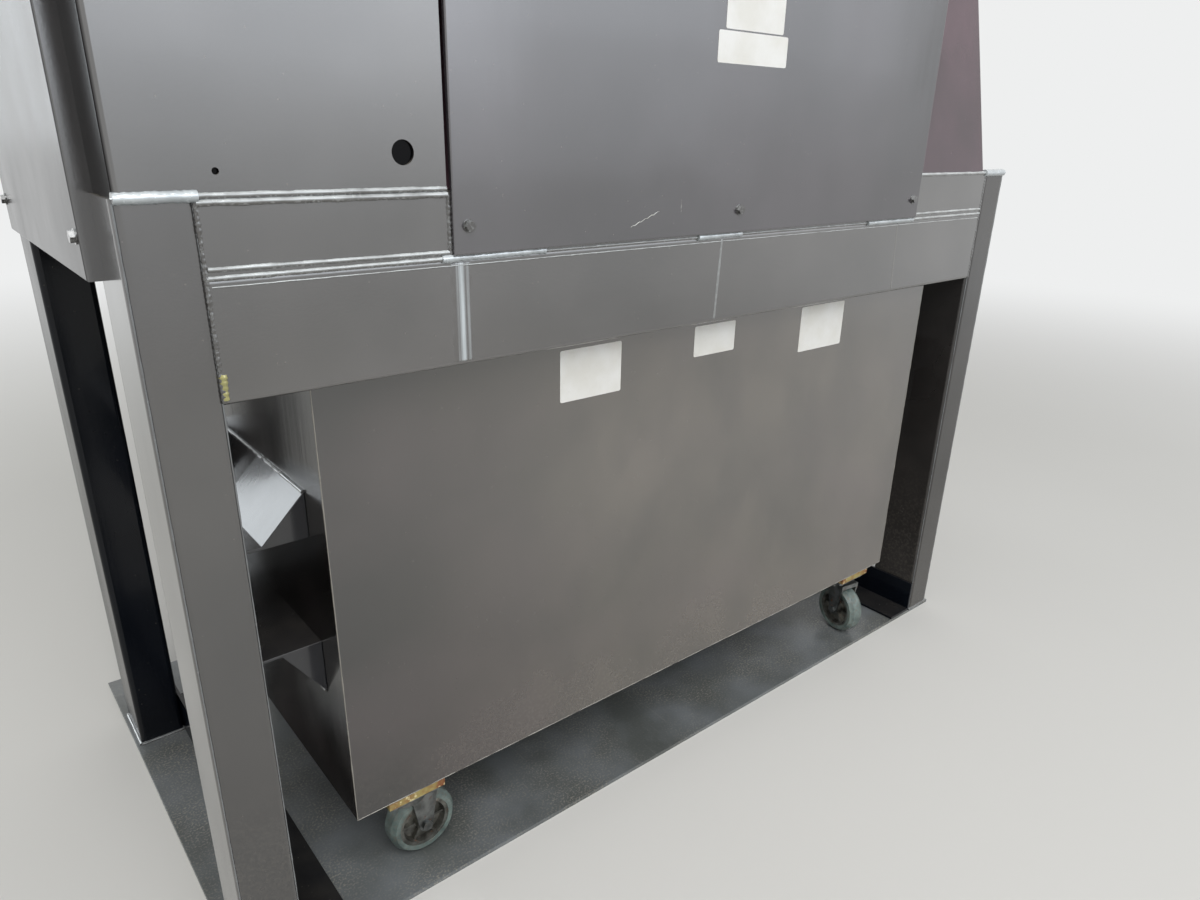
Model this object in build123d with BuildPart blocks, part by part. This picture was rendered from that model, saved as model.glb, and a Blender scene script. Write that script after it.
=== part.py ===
from build123d import *
import math
import os

# Vertical compactor with a castered container rolled in under its chamber.
# Millimetres. X runs along the rear side, +Y towards the loading side, +Z up.
# The origin is under the floor plate, midway between the four legs.

os.makedirs("parts", exist_ok=True)

# Frame
frame_width = 2282.0
frame_depth = 994.0
leg_width = 102.0
leg_depth = 152.0
leg_wall = 6.0
leg_corner = 12.0
leg_top = 1407.0

# Base
floor_thickness = 10.0
floor_margin = 12.0
floor_apron = 100.0
ramp_length = 100.0
ramp_lip = 2.0
guide_leg = 102.0
guide_wall = 8.0
guide_flare = 95.0
guide_flare_angle = 20.0
guide_flare_tip = 30.0

# Cross members of the frame
beam_height = 107.0
beam_depth = 60.0
beam_wall = 6.0
channel_height = 182.0
channel_flange = 40.0
channel_bend = 8.0

# Chamber
roof_headroom = 170.0
plate = 6.0
rear_lean = 12.7
rear_fold = 50.0
rear_bend = 10.0
door_opening_margin = 179.0
door_sill = 23.0
door_opening_height = 630.0
opening_corner = 20.0

# Rear housing and its cover
sheet = 5.0
housing_inset = 5.0
housing_return = 147.0
housing_bend = 8.0
cover_left_margin = 383.0
cover_right_margin = 337.0
cover_slit = 5.0
cover_lap = 5.0
cover_stand = 9.0
cover_sheet = 4.0
cover_gap = 4.0
cover_bend = 3.0
cover_rail = 62.0
bolt_inset = 28.0
bolt_rise = 46.0
wire_hole_inset = 31.0
wire_hole_rise = 32.0
wire_hole_radius = 4.75
hose_hole_inset = 77.0
hose_hole_rise = 55.0
hose_hole_radius = 18.5

# Side cover
side_cover_margin = 119.0
side_cover_stand = 23.0
side_cover_drop = 10.0
side_bolt_inset = 18.0

# Screws of the covers
bolt_radius = 5.0
bolt_flats = 16.0
bolt_head = 6.4
washer_radius = 11.0
washer_thickness = 2.0
bolt_tail = 4.0

# Container
container_side_gap = 143.0
container_end_gap = 51.0
container_clearance = 10.0
container_wall = 5.0
container_floor = 6.0
rim_width = 40.0
rim_drop = 30.0

# Fork pockets
pocket_clear_width = 114.0
pocket_clear_height = 218.0
pocket_wall = 6.0
pocket_bottom = 593.0
pocket_setback = 82.0
pocket_front_setback = 46.0
cap_length = 232.0
cap_rise = 84.0
gusset_width = 75.0
gusset_drop = 108.0
gusset_wall = 8.0

# Casters
wheel_radius = 76.2
wheel_width = 50.0
tyre_thickness = 18.0
wheel_lift = 0.3
pad_size = 127.0
pad_thickness = 17.0
caster_plate = 115.0
caster_plate_thickness = 8.0
caster_trail = 30.0
caster_inset = 68.5
swivel_head_radius = 46.0
swivel_head_height = 12.0
kingpin_radius = 10.0
crown_height = 13.7
crown_margin = 15.0
crown_gap = 3.3
swivel_gap = 0.3
fork_wall = 6.0
fork_gap = 0.5
fork_clear = 2.0
fork_half = 30.0
axle_head = 7.0
plate_bolt = 8.0
plate_bolt_head = 5.0
plate_bolt_inset = 11.0
hub_ribs = 6
hub_rib_wall = 5.0
hub_flange = 2.0
hub_boss_wall = 10.0
hub_rim_wall = 8.0
axle_radius = 8.0
axle_boss = 16.0
rear_left_turn = 0.0
rear_right_turn = -100.0
front_turn = 90.0

# Ram and its cylinder
ram_side_gap = 36.0
ram_rear_gap = 116.0
ram_front_gap = 21.0
platen_thickness = 20.0
platen_clear = 25.0
ram_reach = 125.0
rib_height = 120.0
rib_inset = 45.0
rib_wall = 12.0
wing_inset = 60.0
wing_rise = 40.0
wing_foot = 200.0
wing_height = 200.0
wing_width = 160.0
wing_wall = 10.0
wing_clear = 8.0
guide_depth = 60.0
guide_opening = 140.0
guide_rise = 10.0
shoe_gap = 0.5
shoe_height = 180.0
rod_radius = 31.5
barrel_radius = 65.0
bore_radius = 55.0
gland_radius = 74.0
gland_length = 60.0
piston_length = 50.0
cap_length_top = 40.0
eye_drop = 50.0
clevis_rise = 70.0
rod_reach = 70.0
piston_gap = 5.0
rod_pin_radius = 20.0
barrel_pin_radius = 25.0
running_gap = 0.05
lug_wall = 16.0
eye_margin = 2.5
pin_collar = 7.0

# Tower over the roof
tower_post = 100.0
tower_corner = 10.0
tower_spread = 230.0
tower_wall = 6.0
tower_foot = 12.0
tower_foot_length = 300.0
tower_beam_height = 100.0
beam_clear = 60.0
roof_hole = 140.0
port_radius = 14.0
port_reach = 23.0
port_inset = 2.0
line_radius = 8.0
line_bend = 30.0
line_stand = 120.0

# Power unit on the roof
tank_gap = 60.0
tank_length = 520.0
tank_width = 360.0
tank_height = 300.0
tank_foot = 20.0
tank_wall = 5.0
motor_radius = 80.0
motor_height = 240.0
motor_fins = 12
valve_length = 80.0
valve_width = 150.0
valve_inset = 12.5
valve_margin = 20.0

# Loading door
door_lap = 40.0
door_drop = 15.0
door_rise = 20.0
door_depth = 28.0
door_stand = 3.0
hinge_offset = 22.0
hinge_radius = 12.0
hinge_pin_radius = 7.0
hinge_inset = 115.0
knuckle_height = 40.0
knuckle_gap = 0.5
strap_length = 120.0
strap_wall = 6.0
door_rail_inset = 210.0
door_rail_half = 30.0
door_rail_wall = 4.0
door_rail_gap = 3.0
pin_head = 5.0
pin_gap = 0.3

# Door latch
latch_inset = 50.0
latch_drop = 280.0
latch_reach = 150.0
latch_bar = 30.0
latch_wall = 8.0
latch_stud = 9.0
latch_grip_at = 95.0
latch_grip_stem = 70.0
latch_grip_knob = 20.0
latch_hub = 20.0
latch_pad_half = 50.0
latch_pad_side = 40.0
latch_pad_gap = 0.5
stud_head = 6.0
stud_head_height = 5.0
knob_rim = 5.0
keeper_width = 40.0
keeper_gap = 0.5
keeper_thickness = 20.0

# Control station
station_width = 120.0
station_height = 220.0
station_depth = 80.0
station_wall = 3.0
station_gap = 15.0
station_rise = 8.0
lid_wall = 4.0
lid_gap = 0.5
button_radius = 11.0
button_gap = 0.3
bezel_radius = 16.0
bezel_height = 4.5
start_travel = 4.0
stop_travel = 5.0
start_drop = 45.0
stop_drop = 60.0
key_drop = 65.0
device_depth = 10.0
lid_lap = 1.5
lid_knuckle_inset = 20.0
lid_knuckle_length = 40.0
lid_hinge_radius = 4.0
lid_pin_radius = 2.0
mushroom_rim = 4.0
mushroom_height = 12.0
mushroom_round = 5.0
key_blade_half = 1.5
key_blade_length = 23.0
key_blade_width = 10.0

# Hold latches and pull handles of the container
hold_drop = 85.0
hold_stud = 10.0
hold_reach = 215.0
hold_bar = 30.0
hold_wall = 8.0
hold_hub = 20.0
hold_hub_length = 17.5
hold_collar = 5.0
hold_gap = 0.5
keeper_gap = 2.5
hold_grip_at = 150.0
hold_grip_stand = 60.0
hold_grip_drop = 90.0
handle_radius = 8.0
handle_spread = 160.0
handle_stand = 60.0
handle_x = 350.0
handle_drop = 360.0

# Places worked out from the sizes above
half_width = frame_width / 2
half_depth = frame_depth / 2
leg_inner = half_width - leg_width
leg_x = half_width - leg_width / 2
leg_y = half_depth - leg_depth / 2
leg_inner_y = half_depth - leg_depth
beam_bottom = leg_top - beam_height
container_top = beam_bottom - container_clearance
door_opening_half = leg_inner - door_opening_margin
door_opening_bottom = leg_top + door_sill
door_opening_top = door_opening_bottom + door_opening_height
platen_rest = door_opening_top + platen_clear
ram_stroke = platen_rest - container_top + ram_reach
wing_bottom = container_top + ram_stroke + wing_rise
chamber_top = wing_bottom + wing_height + roof_headroom
rear_face = -half_depth
front_face = half_depth
lean_slope = math.tan(math.radians(rear_lean))
rear_wall_face = rear_face + sheet
front_floor = front_face + floor_apron
housing_left = -half_width + housing_inset
cover_left = cover_left_margin - leg_inner
cover_right = leg_inner - cover_right_margin
frame_left = cover_left + cover_lap
frame_right = cover_right - cover_lap
cover_bottom = beam_bottom + cover_gap
cover_top = chamber_top - cover_gap
cover_face = rear_face - cover_stand
cover_middle = (cover_left + cover_right) / 2
bolt_columns = (cover_left + bolt_inset, cover_middle, cover_right - bolt_inset)
bolt_rows = (cover_bottom + bolt_rise, cover_top - bolt_rise)
container_rear = container_end_gap - half_depth
container_front = half_depth - container_end_gap
container_side = leg_inner - container_side_gap
pocket_top = pocket_bottom + pocket_clear_height
pocket_rear = container_rear + pocket_setback
pocket_front = container_front - pocket_front_setback
caster_x = container_side - pad_size / 2 - caster_inset
caster_y = container_front - pad_size / 2
axle_height = floor_thickness + wheel_lift + wheel_radius
crown_bottom = axle_height + wheel_radius + crown_gap
crown_top = crown_bottom + crown_height
head_bottom = crown_top + swivel_gap
plate_bottom = head_bottom + swivel_head_height
pad_bottom = plate_bottom + caster_plate_thickness
container_bottom = pad_bottom + pad_thickness
fork_inner = wheel_width / 2 + fork_clear
hub_half = fork_inner - fork_gap
ram_half = container_side - rim_width - ram_side_gap
ram_rear = container_rear + rim_width + ram_rear_gap
ram_front = container_front - rim_width - ram_front_gap
ram_y = (ram_rear + ram_front) / 2
wing_outer = ram_half - wing_inset
wing_inner = wing_outer - wing_foot
platen_top = platen_rest + platen_thickness
wing_end = leg_inner - plate - guide_depth - wing_clear
rod_eye = platen_top + clevis_rise
gland_bottom = rod_eye + rod_reach
gland_top = gland_bottom + gland_length
piston_bottom = gland_top + ram_stroke + piston_gap
piston_top = piston_bottom + piston_length
bore_top = piston_top + piston_gap
barrel_top = bore_top + cap_length_top
barrel_eye = barrel_top + eye_drop
roof_top = chamber_top + plate
tower_beam_bottom = barrel_eye + beam_clear
tower_top = tower_beam_bottom + tower_beam_height
tank_bottom = roof_top + tank_foot
tank_top = tank_bottom + tank_height
line_y = ram_y - line_stand
tank_left = -tower_spread - tower_post / 2 - tank_gap - tank_length
tank_rear = line_y - valve_width / 2 - valve_inset
door_half = door_opening_half + door_lap
door_bottom = door_opening_bottom - door_drop
door_top = door_opening_top + door_rise
door_rear = front_face + door_stand
door_front = door_rear + door_depth
hinge_levels = (door_bottom + hinge_inset, door_top - hinge_inset)
hinge_x = door_half + hinge_offset
hinge_y = door_front + strap_wall / 2
station_bottom = leg_top + station_rise
station_top = station_bottom + station_height
station_right = -door_half - station_gap
station_left = station_right - station_width
station_front = front_face + station_depth
station_middle = (station_left + station_right) / 2
lid_rear = station_front + lid_gap
lid_front = lid_rear + lid_wall
latch_x = latch_inset - door_half
latch_height = door_top - latch_drop
latch_rear = door_front + strap_wall
latch_front = latch_rear + latch_wall
keeper_face = latch_front + keeper_gap
keeper_bottom = latch_height + latch_bar / 2 + keeper_gap
hold_height = beam_bottom - hold_drop
handle_height = container_top - handle_drop
hold_hub_rear = front_face + hold_gap
hold_hub_front = hold_hub_rear + hold_hub_length
hold_arm_rear = hold_hub_rear + (hold_hub_length - hold_wall) / 2
hold_collar_rear = hold_hub_front + hold_gap
upper_port = piston_top + port_inset
lower_port = gland_top + port_radius + 3 * port_inset
lid_hinge_x = station_left - lid_hinge_radius - lid_pin_radius
lid_hinge_y = (lid_rear + lid_front) / 2
lid_knuckle_low = station_bottom + lid_knuckle_inset
lid_knuckle_high = station_top - lid_knuckle_inset
lid_middle_low = lid_knuckle_low + lid_knuckle_length
lid_middle_high = lid_knuckle_high - lid_knuckle_length
start_height = station_top - start_drop
stop_height = start_height - stop_drop
key_height = stop_height - key_drop


def middle(span):
    """The middle of a (low, high) pair."""
    return (span[0] + span[1]) / 2


def length(span):
    """The length of a (low, high) pair."""
    return span[1] - span[0]


def block(x, y, z, mode=Mode.ADD):
    """A rectangular block between (low, high) limits."""
    with BuildSketch(Plane.XY.offset(z[0])) as outline:
        with Locations((middle(x), middle(y))):
            Rectangle(length(x), length(y))
    extrude(outline.sketch, amount=length(z), mode=mode)


def rod_x(radius, x, y, z, mode=Mode.ADD):
    """A round bar along X between the limits x."""
    with BuildSketch(Plane.YZ.offset(x[0])) as outline:
        with Locations((y, z)):
            Circle(radius)
    extrude(outline.sketch, amount=length(x), mode=mode)


def rod_y(radius, x, y, z, mode=Mode.ADD):
    """A round bar along Y between the limits y."""
    with BuildSketch(Plane.XZ.offset(-y[1])) as outline:
        with Locations((x, z)):
            Circle(radius)
    extrude(outline.sketch, amount=length(y), mode=mode)


def rod_z(radius, x, y, z, mode=Mode.ADD):
    """A round bar along Z between the limits z."""
    with BuildSketch(Plane.XY.offset(z[0])) as outline:
        with Locations((x, y)):
            Circle(radius)
    extrude(outline.sketch, amount=length(z), mode=mode)


def prism_x(points, x, mode=Mode.ADD):
    """A (y, z) outline carried along X."""
    with BuildSketch(Plane.YZ.offset(x[0])) as outline:
        with BuildLine():
            Polyline(*points, close=True)
        make_face()
    extrude(outline.sketch, amount=length(x), mode=mode)


def prism_y(points, y, mode=Mode.ADD):
    """An (x, z) outline carried along Y."""
    with BuildSketch(Plane.XZ.offset(-y[1])) as outline:
        with BuildLine():
            Polyline(*points, close=True)
        make_face()
    extrude(outline.sketch, amount=length(y), mode=mode)


def prism_z(points, z, mode=Mode.ADD):
    """An (x, y) outline carried along Z."""
    with BuildSketch(Plane.XY.offset(z[0])) as outline:
        with BuildLine():
            Polyline(*points, close=True)
        make_face()
    extrude(outline.sketch, amount=length(z), mode=mode)


def channel(x, y_web, depth, z, wall, bend):
    """A channel along X with its web at y_web and its flanges towards +Y."""
    with BuildSketch(Plane.YZ.offset(x[0])) as section:
        with Locations((y_web + depth / 2, middle(z))):
            Rectangle(depth, length(z))
        fillet(section.vertices().group_by(Axis.X)[0], bend)
        with Locations((y_web + wall + depth / 2, middle(z))):
            Rectangle(depth, length(z) - 2 * wall, mode=Mode.SUBTRACT)
    extrude(section.sketch, amount=length(x))


def square_tube(x, y, z, wall, corner):
    """An upright tube with rounded corners, open at both ends."""
    with BuildSketch(Plane.XY.offset(z[0])) as section:
        with Locations((middle(x), middle(y))):
            RectangleRounded(length(x), length(y), corner)
            RectangleRounded(
                length(x) - 2 * wall,
                length(y) - 2 * wall,
                corner - wall,
                mode=Mode.SUBTRACT,
            )
    extrude(section.sketch, amount=length(z))


def folded_panel(y_face, inward, right, z):
    """Housing sheet: a face at y_face from the left corner to right, folded back along the side."""
    y_inner = y_face + inward * sheet
    x_inner = housing_left + sheet
    y_end = y_face + inward * housing_return
    with BuildSketch(Plane.XY.offset(z[0])) as section:
        with BuildLine():
            Polyline(
                (housing_left, y_face),
                (right, y_face),
                (right, y_inner),
                (x_inner, y_inner),
                (x_inner, y_end),
                (housing_left, y_end),
                close=True,
            )
        make_face()
        corners = section.vertices()
        fillet(corners.sort_by_distance((housing_left, y_face))[0], housing_bend)
        corners = section.vertices()
        fillet(corners.sort_by_distance((x_inner, y_inner))[0], housing_bend - sheet)
    extrude(section.sketch, amount=length(z))


def save(piece, name):
    """Label a finished piece and write it out."""
    piece.part.label = name
    export_step(piece.part, f"parts/{name}.step")


# Base and legs

with BuildPart() as floor_plate:
    prism_x(
        [
            (rear_face, 0),
            (front_floor + ramp_length, 0),
            (front_floor + ramp_length, ramp_lip),
            (front_floor, floor_thickness),
            (rear_face, floor_thickness),
        ],
        (-half_width - floor_margin, half_width + floor_margin),
    )
save(floor_plate, "floor_plate")


def floor_guide(side):
    """An angle that steers the casters, with a flared and sloping front end."""
    outer = side * leg_inner
    wall = side * (leg_inner - guide_wall)
    toe = side * (leg_inner - guide_leg)
    top = floor_thickness + guide_leg
    swing = side * guide_flare * math.tan(math.radians(guide_flare_angle))
    flare_end = front_face + guide_flare
    with BuildPart() as guide:
        with BuildSketch(Plane.XZ.offset(-front_face)):
            with BuildLine():
                Polyline(
                    (outer, floor_thickness),
                    (outer, top),
                    (wall, top),
                    (wall, floor_thickness + guide_wall),
                    (toe, floor_thickness + guide_wall),
                    (toe, floor_thickness),
                    close=True,
                )
            make_face()
        extrude(amount=frame_depth)
        prism_z(
            [
                (outer, front_face),
                (outer + swing, flare_end),
                (wall + swing, flare_end),
                (wall, front_face),
            ],
            (floor_thickness, top),
        )
        prism_x(
            [
                (front_face, top),
                (flare_end + 1, guide_flare_tip),
                (flare_end + 1, top + 1),
                (front_face, top + 1),
            ],
            (-half_width - guide_leg, half_width + guide_leg),
            mode=Mode.SUBTRACT,
        )
    return guide


def leg(x_side, y_side):
    """A square leg standing on the floor plate, with a welded cap on top."""
    with BuildPart() as post:
        with BuildSketch(Plane.XY.offset(floor_thickness)):
            with Locations((x_side * leg_x, y_side * leg_y)):
                RectangleRounded(leg_width, leg_depth, leg_corner)
        extrude(amount=leg_top - floor_thickness)
        with BuildSketch(Plane.XY.offset(floor_thickness)):
            with Locations((x_side * leg_x, y_side * leg_y)):
                RectangleRounded(
                    leg_width - 2 * leg_wall,
                    leg_depth - 2 * leg_wall,
                    leg_corner - leg_wall,
                )
        extrude(amount=leg_top - leg_wall - floor_thickness, mode=Mode.SUBTRACT)
        if y_side > 0:
            rod_y(hold_stud, x_side * leg_x, (front_face, hold_collar_rear), hold_height)
            collar = (hold_collar_rear, hold_collar_rear + hold_collar)
            rod_y(hold_stud + stud_head, x_side * leg_x, collar, hold_height)
    return post


for side, side_name in ((-1, "left"), (1, "right")):
    save(floor_guide(side), f"guide_{side_name}")
    save(leg(side, -1), f"leg_rear_{side_name}")
    save(leg(side, 1), f"leg_front_{side_name}")

# Cross members

with BuildPart() as rear_channel:
    channel(
        (-leg_inner, leg_inner),
        rear_face,
        channel_flange,
        (beam_bottom - channel_height, beam_bottom),
        beam_wall,
        channel_bend,
    )
save(rear_channel, "rear_channel")

with BuildPart() as rear_beam:
    channel(
        (-leg_inner, leg_inner),
        rear_wall_face,
        beam_depth - sheet,
        (beam_bottom, leg_top),
        beam_wall,
        beam_wall,
    )
    for column in bolt_columns:
        rod_y(
            bolt_radius + 1,
            column,
            (rear_wall_face - 1, rear_wall_face + beam_wall + 1),
            bolt_rows[0],
            mode=Mode.SUBTRACT,
        )
save(rear_beam, "rear_beam")

with BuildPart() as band_left:
    block((-leg_inner, cover_left - cover_slit), (rear_face, rear_wall_face), (beam_bottom, leg_top))
save(band_left, "band_left")

with BuildPart() as band_right:
    block((frame_right, leg_inner), (rear_face, rear_wall_face), (beam_bottom, leg_top))
save(band_right, "band_right")

with BuildPart() as side_rails:
    for side in (-1, 1):
        with BuildSketch(Plane.XZ.offset(-leg_inner_y)):
            with Locations((side * leg_x, (beam_bottom + leg_top) / 2)):
                RectangleRounded(leg_width, beam_height, leg_corner)
                RectangleRounded(
                    leg_width - 2 * leg_wall,
                    beam_height - 2 * leg_wall,
                    leg_corner - leg_wall,
                    mode=Mode.SUBTRACT,
                )
        extrude(amount=2 * leg_inner_y)
save(side_rails, "side_rails")

with BuildPart() as front_header:
    with BuildSketch(Plane.YZ.offset(-leg_inner)):
        with Locations((front_face - beam_depth / 2, (beam_bottom + leg_top) / 2)):
            RectangleRounded(beam_depth, beam_height, leg_corner)
            RectangleRounded(
                beam_depth - 2 * beam_wall,
                beam_height - 2 * beam_wall,
                leg_corner - beam_wall,
                mode=Mode.SUBTRACT,
            )
    extrude(amount=2 * leg_inner)
save(front_header, "front_header")

# Chamber

rear_fold_line = rear_wall_face + rear_fold / math.cos(math.radians(rear_lean))
rise = chamber_top - leg_top


def side_wall(side):
    """Side plate whose rear edge follows the leaning rear wall."""
    with BuildPart() as wall:
        prism_x(
            [
                (rear_face + beam_depth, beam_bottom),
                (front_face - beam_depth, beam_bottom),
                (front_face - beam_depth, leg_top),
                (front_face - plate, leg_top),
                (front_face - plate, chamber_top),
                (rear_fold_line + rise * lean_slope, chamber_top),
                (rear_fold_line, leg_top),
                (rear_face + beam_depth, leg_top),
            ],
            (leg_inner - plate, leg_inner) if side > 0 else (-leg_inner, plate - leg_inner),
        )
    return wall


save(side_wall(-1), "side_wall_left")
save(side_wall(1), "side_wall_right")

lean_direction = (0, math.sin(math.radians(rear_lean)), math.cos(math.radians(rear_lean)))
lean_plane = Plane(origin=(0, rear_wall_face, leg_top), x_dir=(1, 0, 0), z_dir=lean_direction)

with BuildPart() as rear_wall:
    with BuildSketch(lean_plane.offset(-rear_fold)) as section:
        with Locations((0, rear_fold / 2)):
            Rectangle(2 * leg_inner, rear_fold)
        fillet(section.vertices().group_by(Axis.Y)[0], rear_bend)
        with Locations((0, plate + rear_fold / 2)):
            Rectangle(2 * (leg_inner - plate), rear_fold, mode=Mode.SUBTRACT)
    extrude(amount=rise / lean_direction[2] + 2 * rear_fold)
    split(bisect_by=Plane.XY.offset(leg_top), keep=Keep.TOP)
    split(bisect_by=Plane.XY.offset(chamber_top), keep=Keep.BOTTOM)
save(rear_wall, "rear_wall")

with BuildPart() as front_wall:
    folded_panel(front_face, -1, leg_inner, (leg_top, chamber_top))
    with BuildSketch(Plane.XZ.offset(-front_face)):
        with Locations((0, (door_opening_bottom + door_opening_top) / 2)):
            RectangleRounded(
                2 * door_opening_half,
                door_opening_height,
                opening_corner,
            )
    extrude(amount=2 * plate, mode=Mode.SUBTRACT)
    for level in hinge_levels:
        for knuckle in (-1, 1):
            centre = level + knuckle * (knuckle_height + knuckle_gap)
            span = (centre - knuckle_height / 2, centre + knuckle_height / 2)
            block((hinge_x - strap_wall, hinge_x + strap_wall), (front_face, hinge_y), span)
            rod_z(hinge_radius, hinge_x, hinge_y, span)
            rod_z(hinge_pin_radius + running_gap, hinge_x, hinge_y, span, mode=Mode.SUBTRACT)
    keeper_x = (latch_x - latch_reach, latch_x - latch_reach + keeper_width)
    prism_x(
        [
            (front_face, keeper_bottom),
            (keeper_face, keeper_bottom),
            (keeper_face, latch_height),
            (keeper_face + latch_wall, latch_height),
            (keeper_face + latch_wall, keeper_bottom + keeper_thickness),
            (front_face, keeper_bottom + keeper_thickness),
        ],
        keeper_x,
    )
save(front_wall, "front_wall")

with BuildPart() as roof_plate:
    prism_z(
        [
            (housing_left, rear_face),
            (cover_right, rear_face),
            (cover_right, rear_wall_face + rise * lean_slope),
            (leg_inner, rear_wall_face + rise * lean_slope),
            (leg_inner, front_face),
            (housing_left, front_face),
        ],
        (chamber_top, roof_top),
    )
    rod_z(roof_hole, 0, ram_y, (chamber_top, roof_top), mode=Mode.SUBTRACT)
save(roof_plate, "roof_plate")

# Rear housing

with BuildPart() as enclosure_panel:
    folded_panel(rear_face, 1, cover_left - cover_slit, (leg_top, chamber_top))
    rod_y(
        wire_hole_radius,
        wire_hole_inset - leg_inner,
        (rear_face, rear_wall_face),
        leg_top + wire_hole_rise,
        mode=Mode.SUBTRACT,
    )
    rod_y(
        hose_hole_radius,
        cover_left - hose_hole_inset,
        (rear_face, rear_wall_face),
        leg_top + hose_hole_rise,
        mode=Mode.SUBTRACT,
    )
save(enclosure_panel, "enclosure_panel")

with BuildPart() as cover_frame:
    block((frame_left, frame_right), (rear_face, rear_wall_face), (beam_bottom, chamber_top))
    block(
        (frame_left + cover_rail, frame_right - cover_rail),
        (rear_face, rear_wall_face),
        (leg_top, chamber_top - beam_height),
        mode=Mode.SUBTRACT,
    )
    prism_x(
        [
            (rear_wall_face, leg_top),
            (rear_wall_face, chamber_top),
            (rear_wall_face + rise * lean_slope, chamber_top),
        ],
        (frame_right - sheet, frame_right),
    )
    for column in bolt_columns:
        for row in bolt_rows:
            rod_y(
                bolt_radius + running_gap,
                column,
                (rear_face - 1, rear_wall_face + 1),
                row,
                mode=Mode.SUBTRACT,
            )
save(cover_frame, "cover_frame")

with BuildPart() as service_cover:
    block((cover_left, cover_right), (cover_face, rear_face), (cover_bottom, cover_top))
    fillet(service_cover.faces().sort_by(Axis.Y)[0].edges(), cover_bend)
    block(
        (cover_left + cover_sheet, cover_right - cover_sheet),
        (cover_face + cover_sheet, rear_face),
        (cover_bottom + cover_sheet, cover_top - cover_sheet),
        mode=Mode.SUBTRACT,
    )
    for column in bolt_columns:
        for row in bolt_rows:
            rod_y(
                bolt_radius + 1,
                column,
                (cover_face - 1, cover_face + cover_sheet + 1),
                row,
                mode=Mode.SUBTRACT,
            )
save(service_cover, "service_cover")

side_cover_face = -half_width - side_cover_stand
side_cover_bottom = beam_bottom - side_cover_drop
side_cover_top = chamber_top - cover_gap
side_cover_half = half_depth - side_cover_margin

with BuildPart() as side_cover:
    block(
        (side_cover_face, housing_left),
        (-side_cover_half, side_cover_half),
        (side_cover_bottom, side_cover_top),
    )
    fillet(side_cover.faces().sort_by(Axis.X)[0].edges(), cover_bend)
    block(
        (side_cover_face + cover_sheet, housing_left),
        (-side_cover_half + cover_sheet, side_cover_half - cover_sheet),
        (side_cover_bottom + cover_sheet, side_cover_top - cover_sheet),
        mode=Mode.SUBTRACT,
    )
    block(
        (-half_width, housing_left),
        (-side_cover_half, side_cover_half),
        (side_cover_bottom, leg_top),
        mode=Mode.SUBTRACT,
    )
    for bolt_y in (side_bolt_inset - side_cover_half, side_cover_half - side_bolt_inset):
        for row in bolt_rows:
            rod_x(
                bolt_radius + running_gap,
                (side_cover_face - 1, side_cover_face + cover_sheet + 1),
                bolt_y,
                row,
                mode=Mode.SUBTRACT,
            )
save(side_cover, "side_cover")

with BuildPart() as cover_bolts:
    for column in bolt_columns:
        for row in bolt_rows:
            with BuildSketch(Plane.XZ.offset(-cover_face)):
                with Locations((column, row)):
                    Circle(washer_radius)
            extrude(amount=washer_thickness)
            with BuildSketch(Plane.XZ.offset(washer_thickness - cover_face)):
                with Locations((column, row)):
                    RegularPolygon(bolt_flats / 2, 6, major_radius=False)
            extrude(amount=bolt_head)
            rod_y(bolt_radius, column, (cover_face, rear_wall_face + bolt_tail), row)
    for bolt_y in (side_bolt_inset - side_cover_half, side_cover_half - side_bolt_inset):
        for row, seat in ((bolt_rows[0], -half_width), (bolt_rows[1], housing_left)):
            with BuildSketch(Plane.YZ.offset(side_cover_face)):
                with Locations((bolt_y, row)):
                    Circle(washer_radius)
            extrude(amount=-washer_thickness)
            with BuildSketch(Plane.YZ.offset(side_cover_face - washer_thickness)):
                with Locations((bolt_y, row)):
                    RegularPolygon(bolt_flats / 2, 6, major_radius=False)
            extrude(amount=-bolt_head)
            rod_x(bolt_radius, (side_cover_face, seat), bolt_y, row)
save(cover_bolts, "cover_bolts")

# Ram, its guides and its cylinder

guide_y = (ram_y - guide_opening / 2 - plate, ram_y + guide_opening / 2 + plate)
guide_x = (leg_inner - plate - guide_depth, leg_inner - plate)

with BuildPart() as ram_guides:
    for side in (-1, 1):
        span = guide_x if side > 0 else (-guide_x[1], -guide_x[0])
        groove = (span[0] - side * plate, span[1] - side * plate)
        block(span, guide_y, (beam_bottom + guide_rise, chamber_top))
        block(
            groove,
            (guide_y[0] + plate, guide_y[1] - plate),
            (beam_bottom + guide_rise, chamber_top),
            mode=Mode.SUBTRACT,
        )
save(ram_guides, "ram_guides")


def rib_positions(low, high, count):
    """Evenly spread places from low to high."""
    return [low + (high - low) * step / (count - 1) for step in range(count)]


rib_rows = rib_positions(ram_rear + rib_inset, ram_front - rib_inset, 4)
rib_columns = rib_positions(rib_inset - ram_half, ram_half - rib_inset, 5)
eye_half = rod_radius + eye_margin

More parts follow.
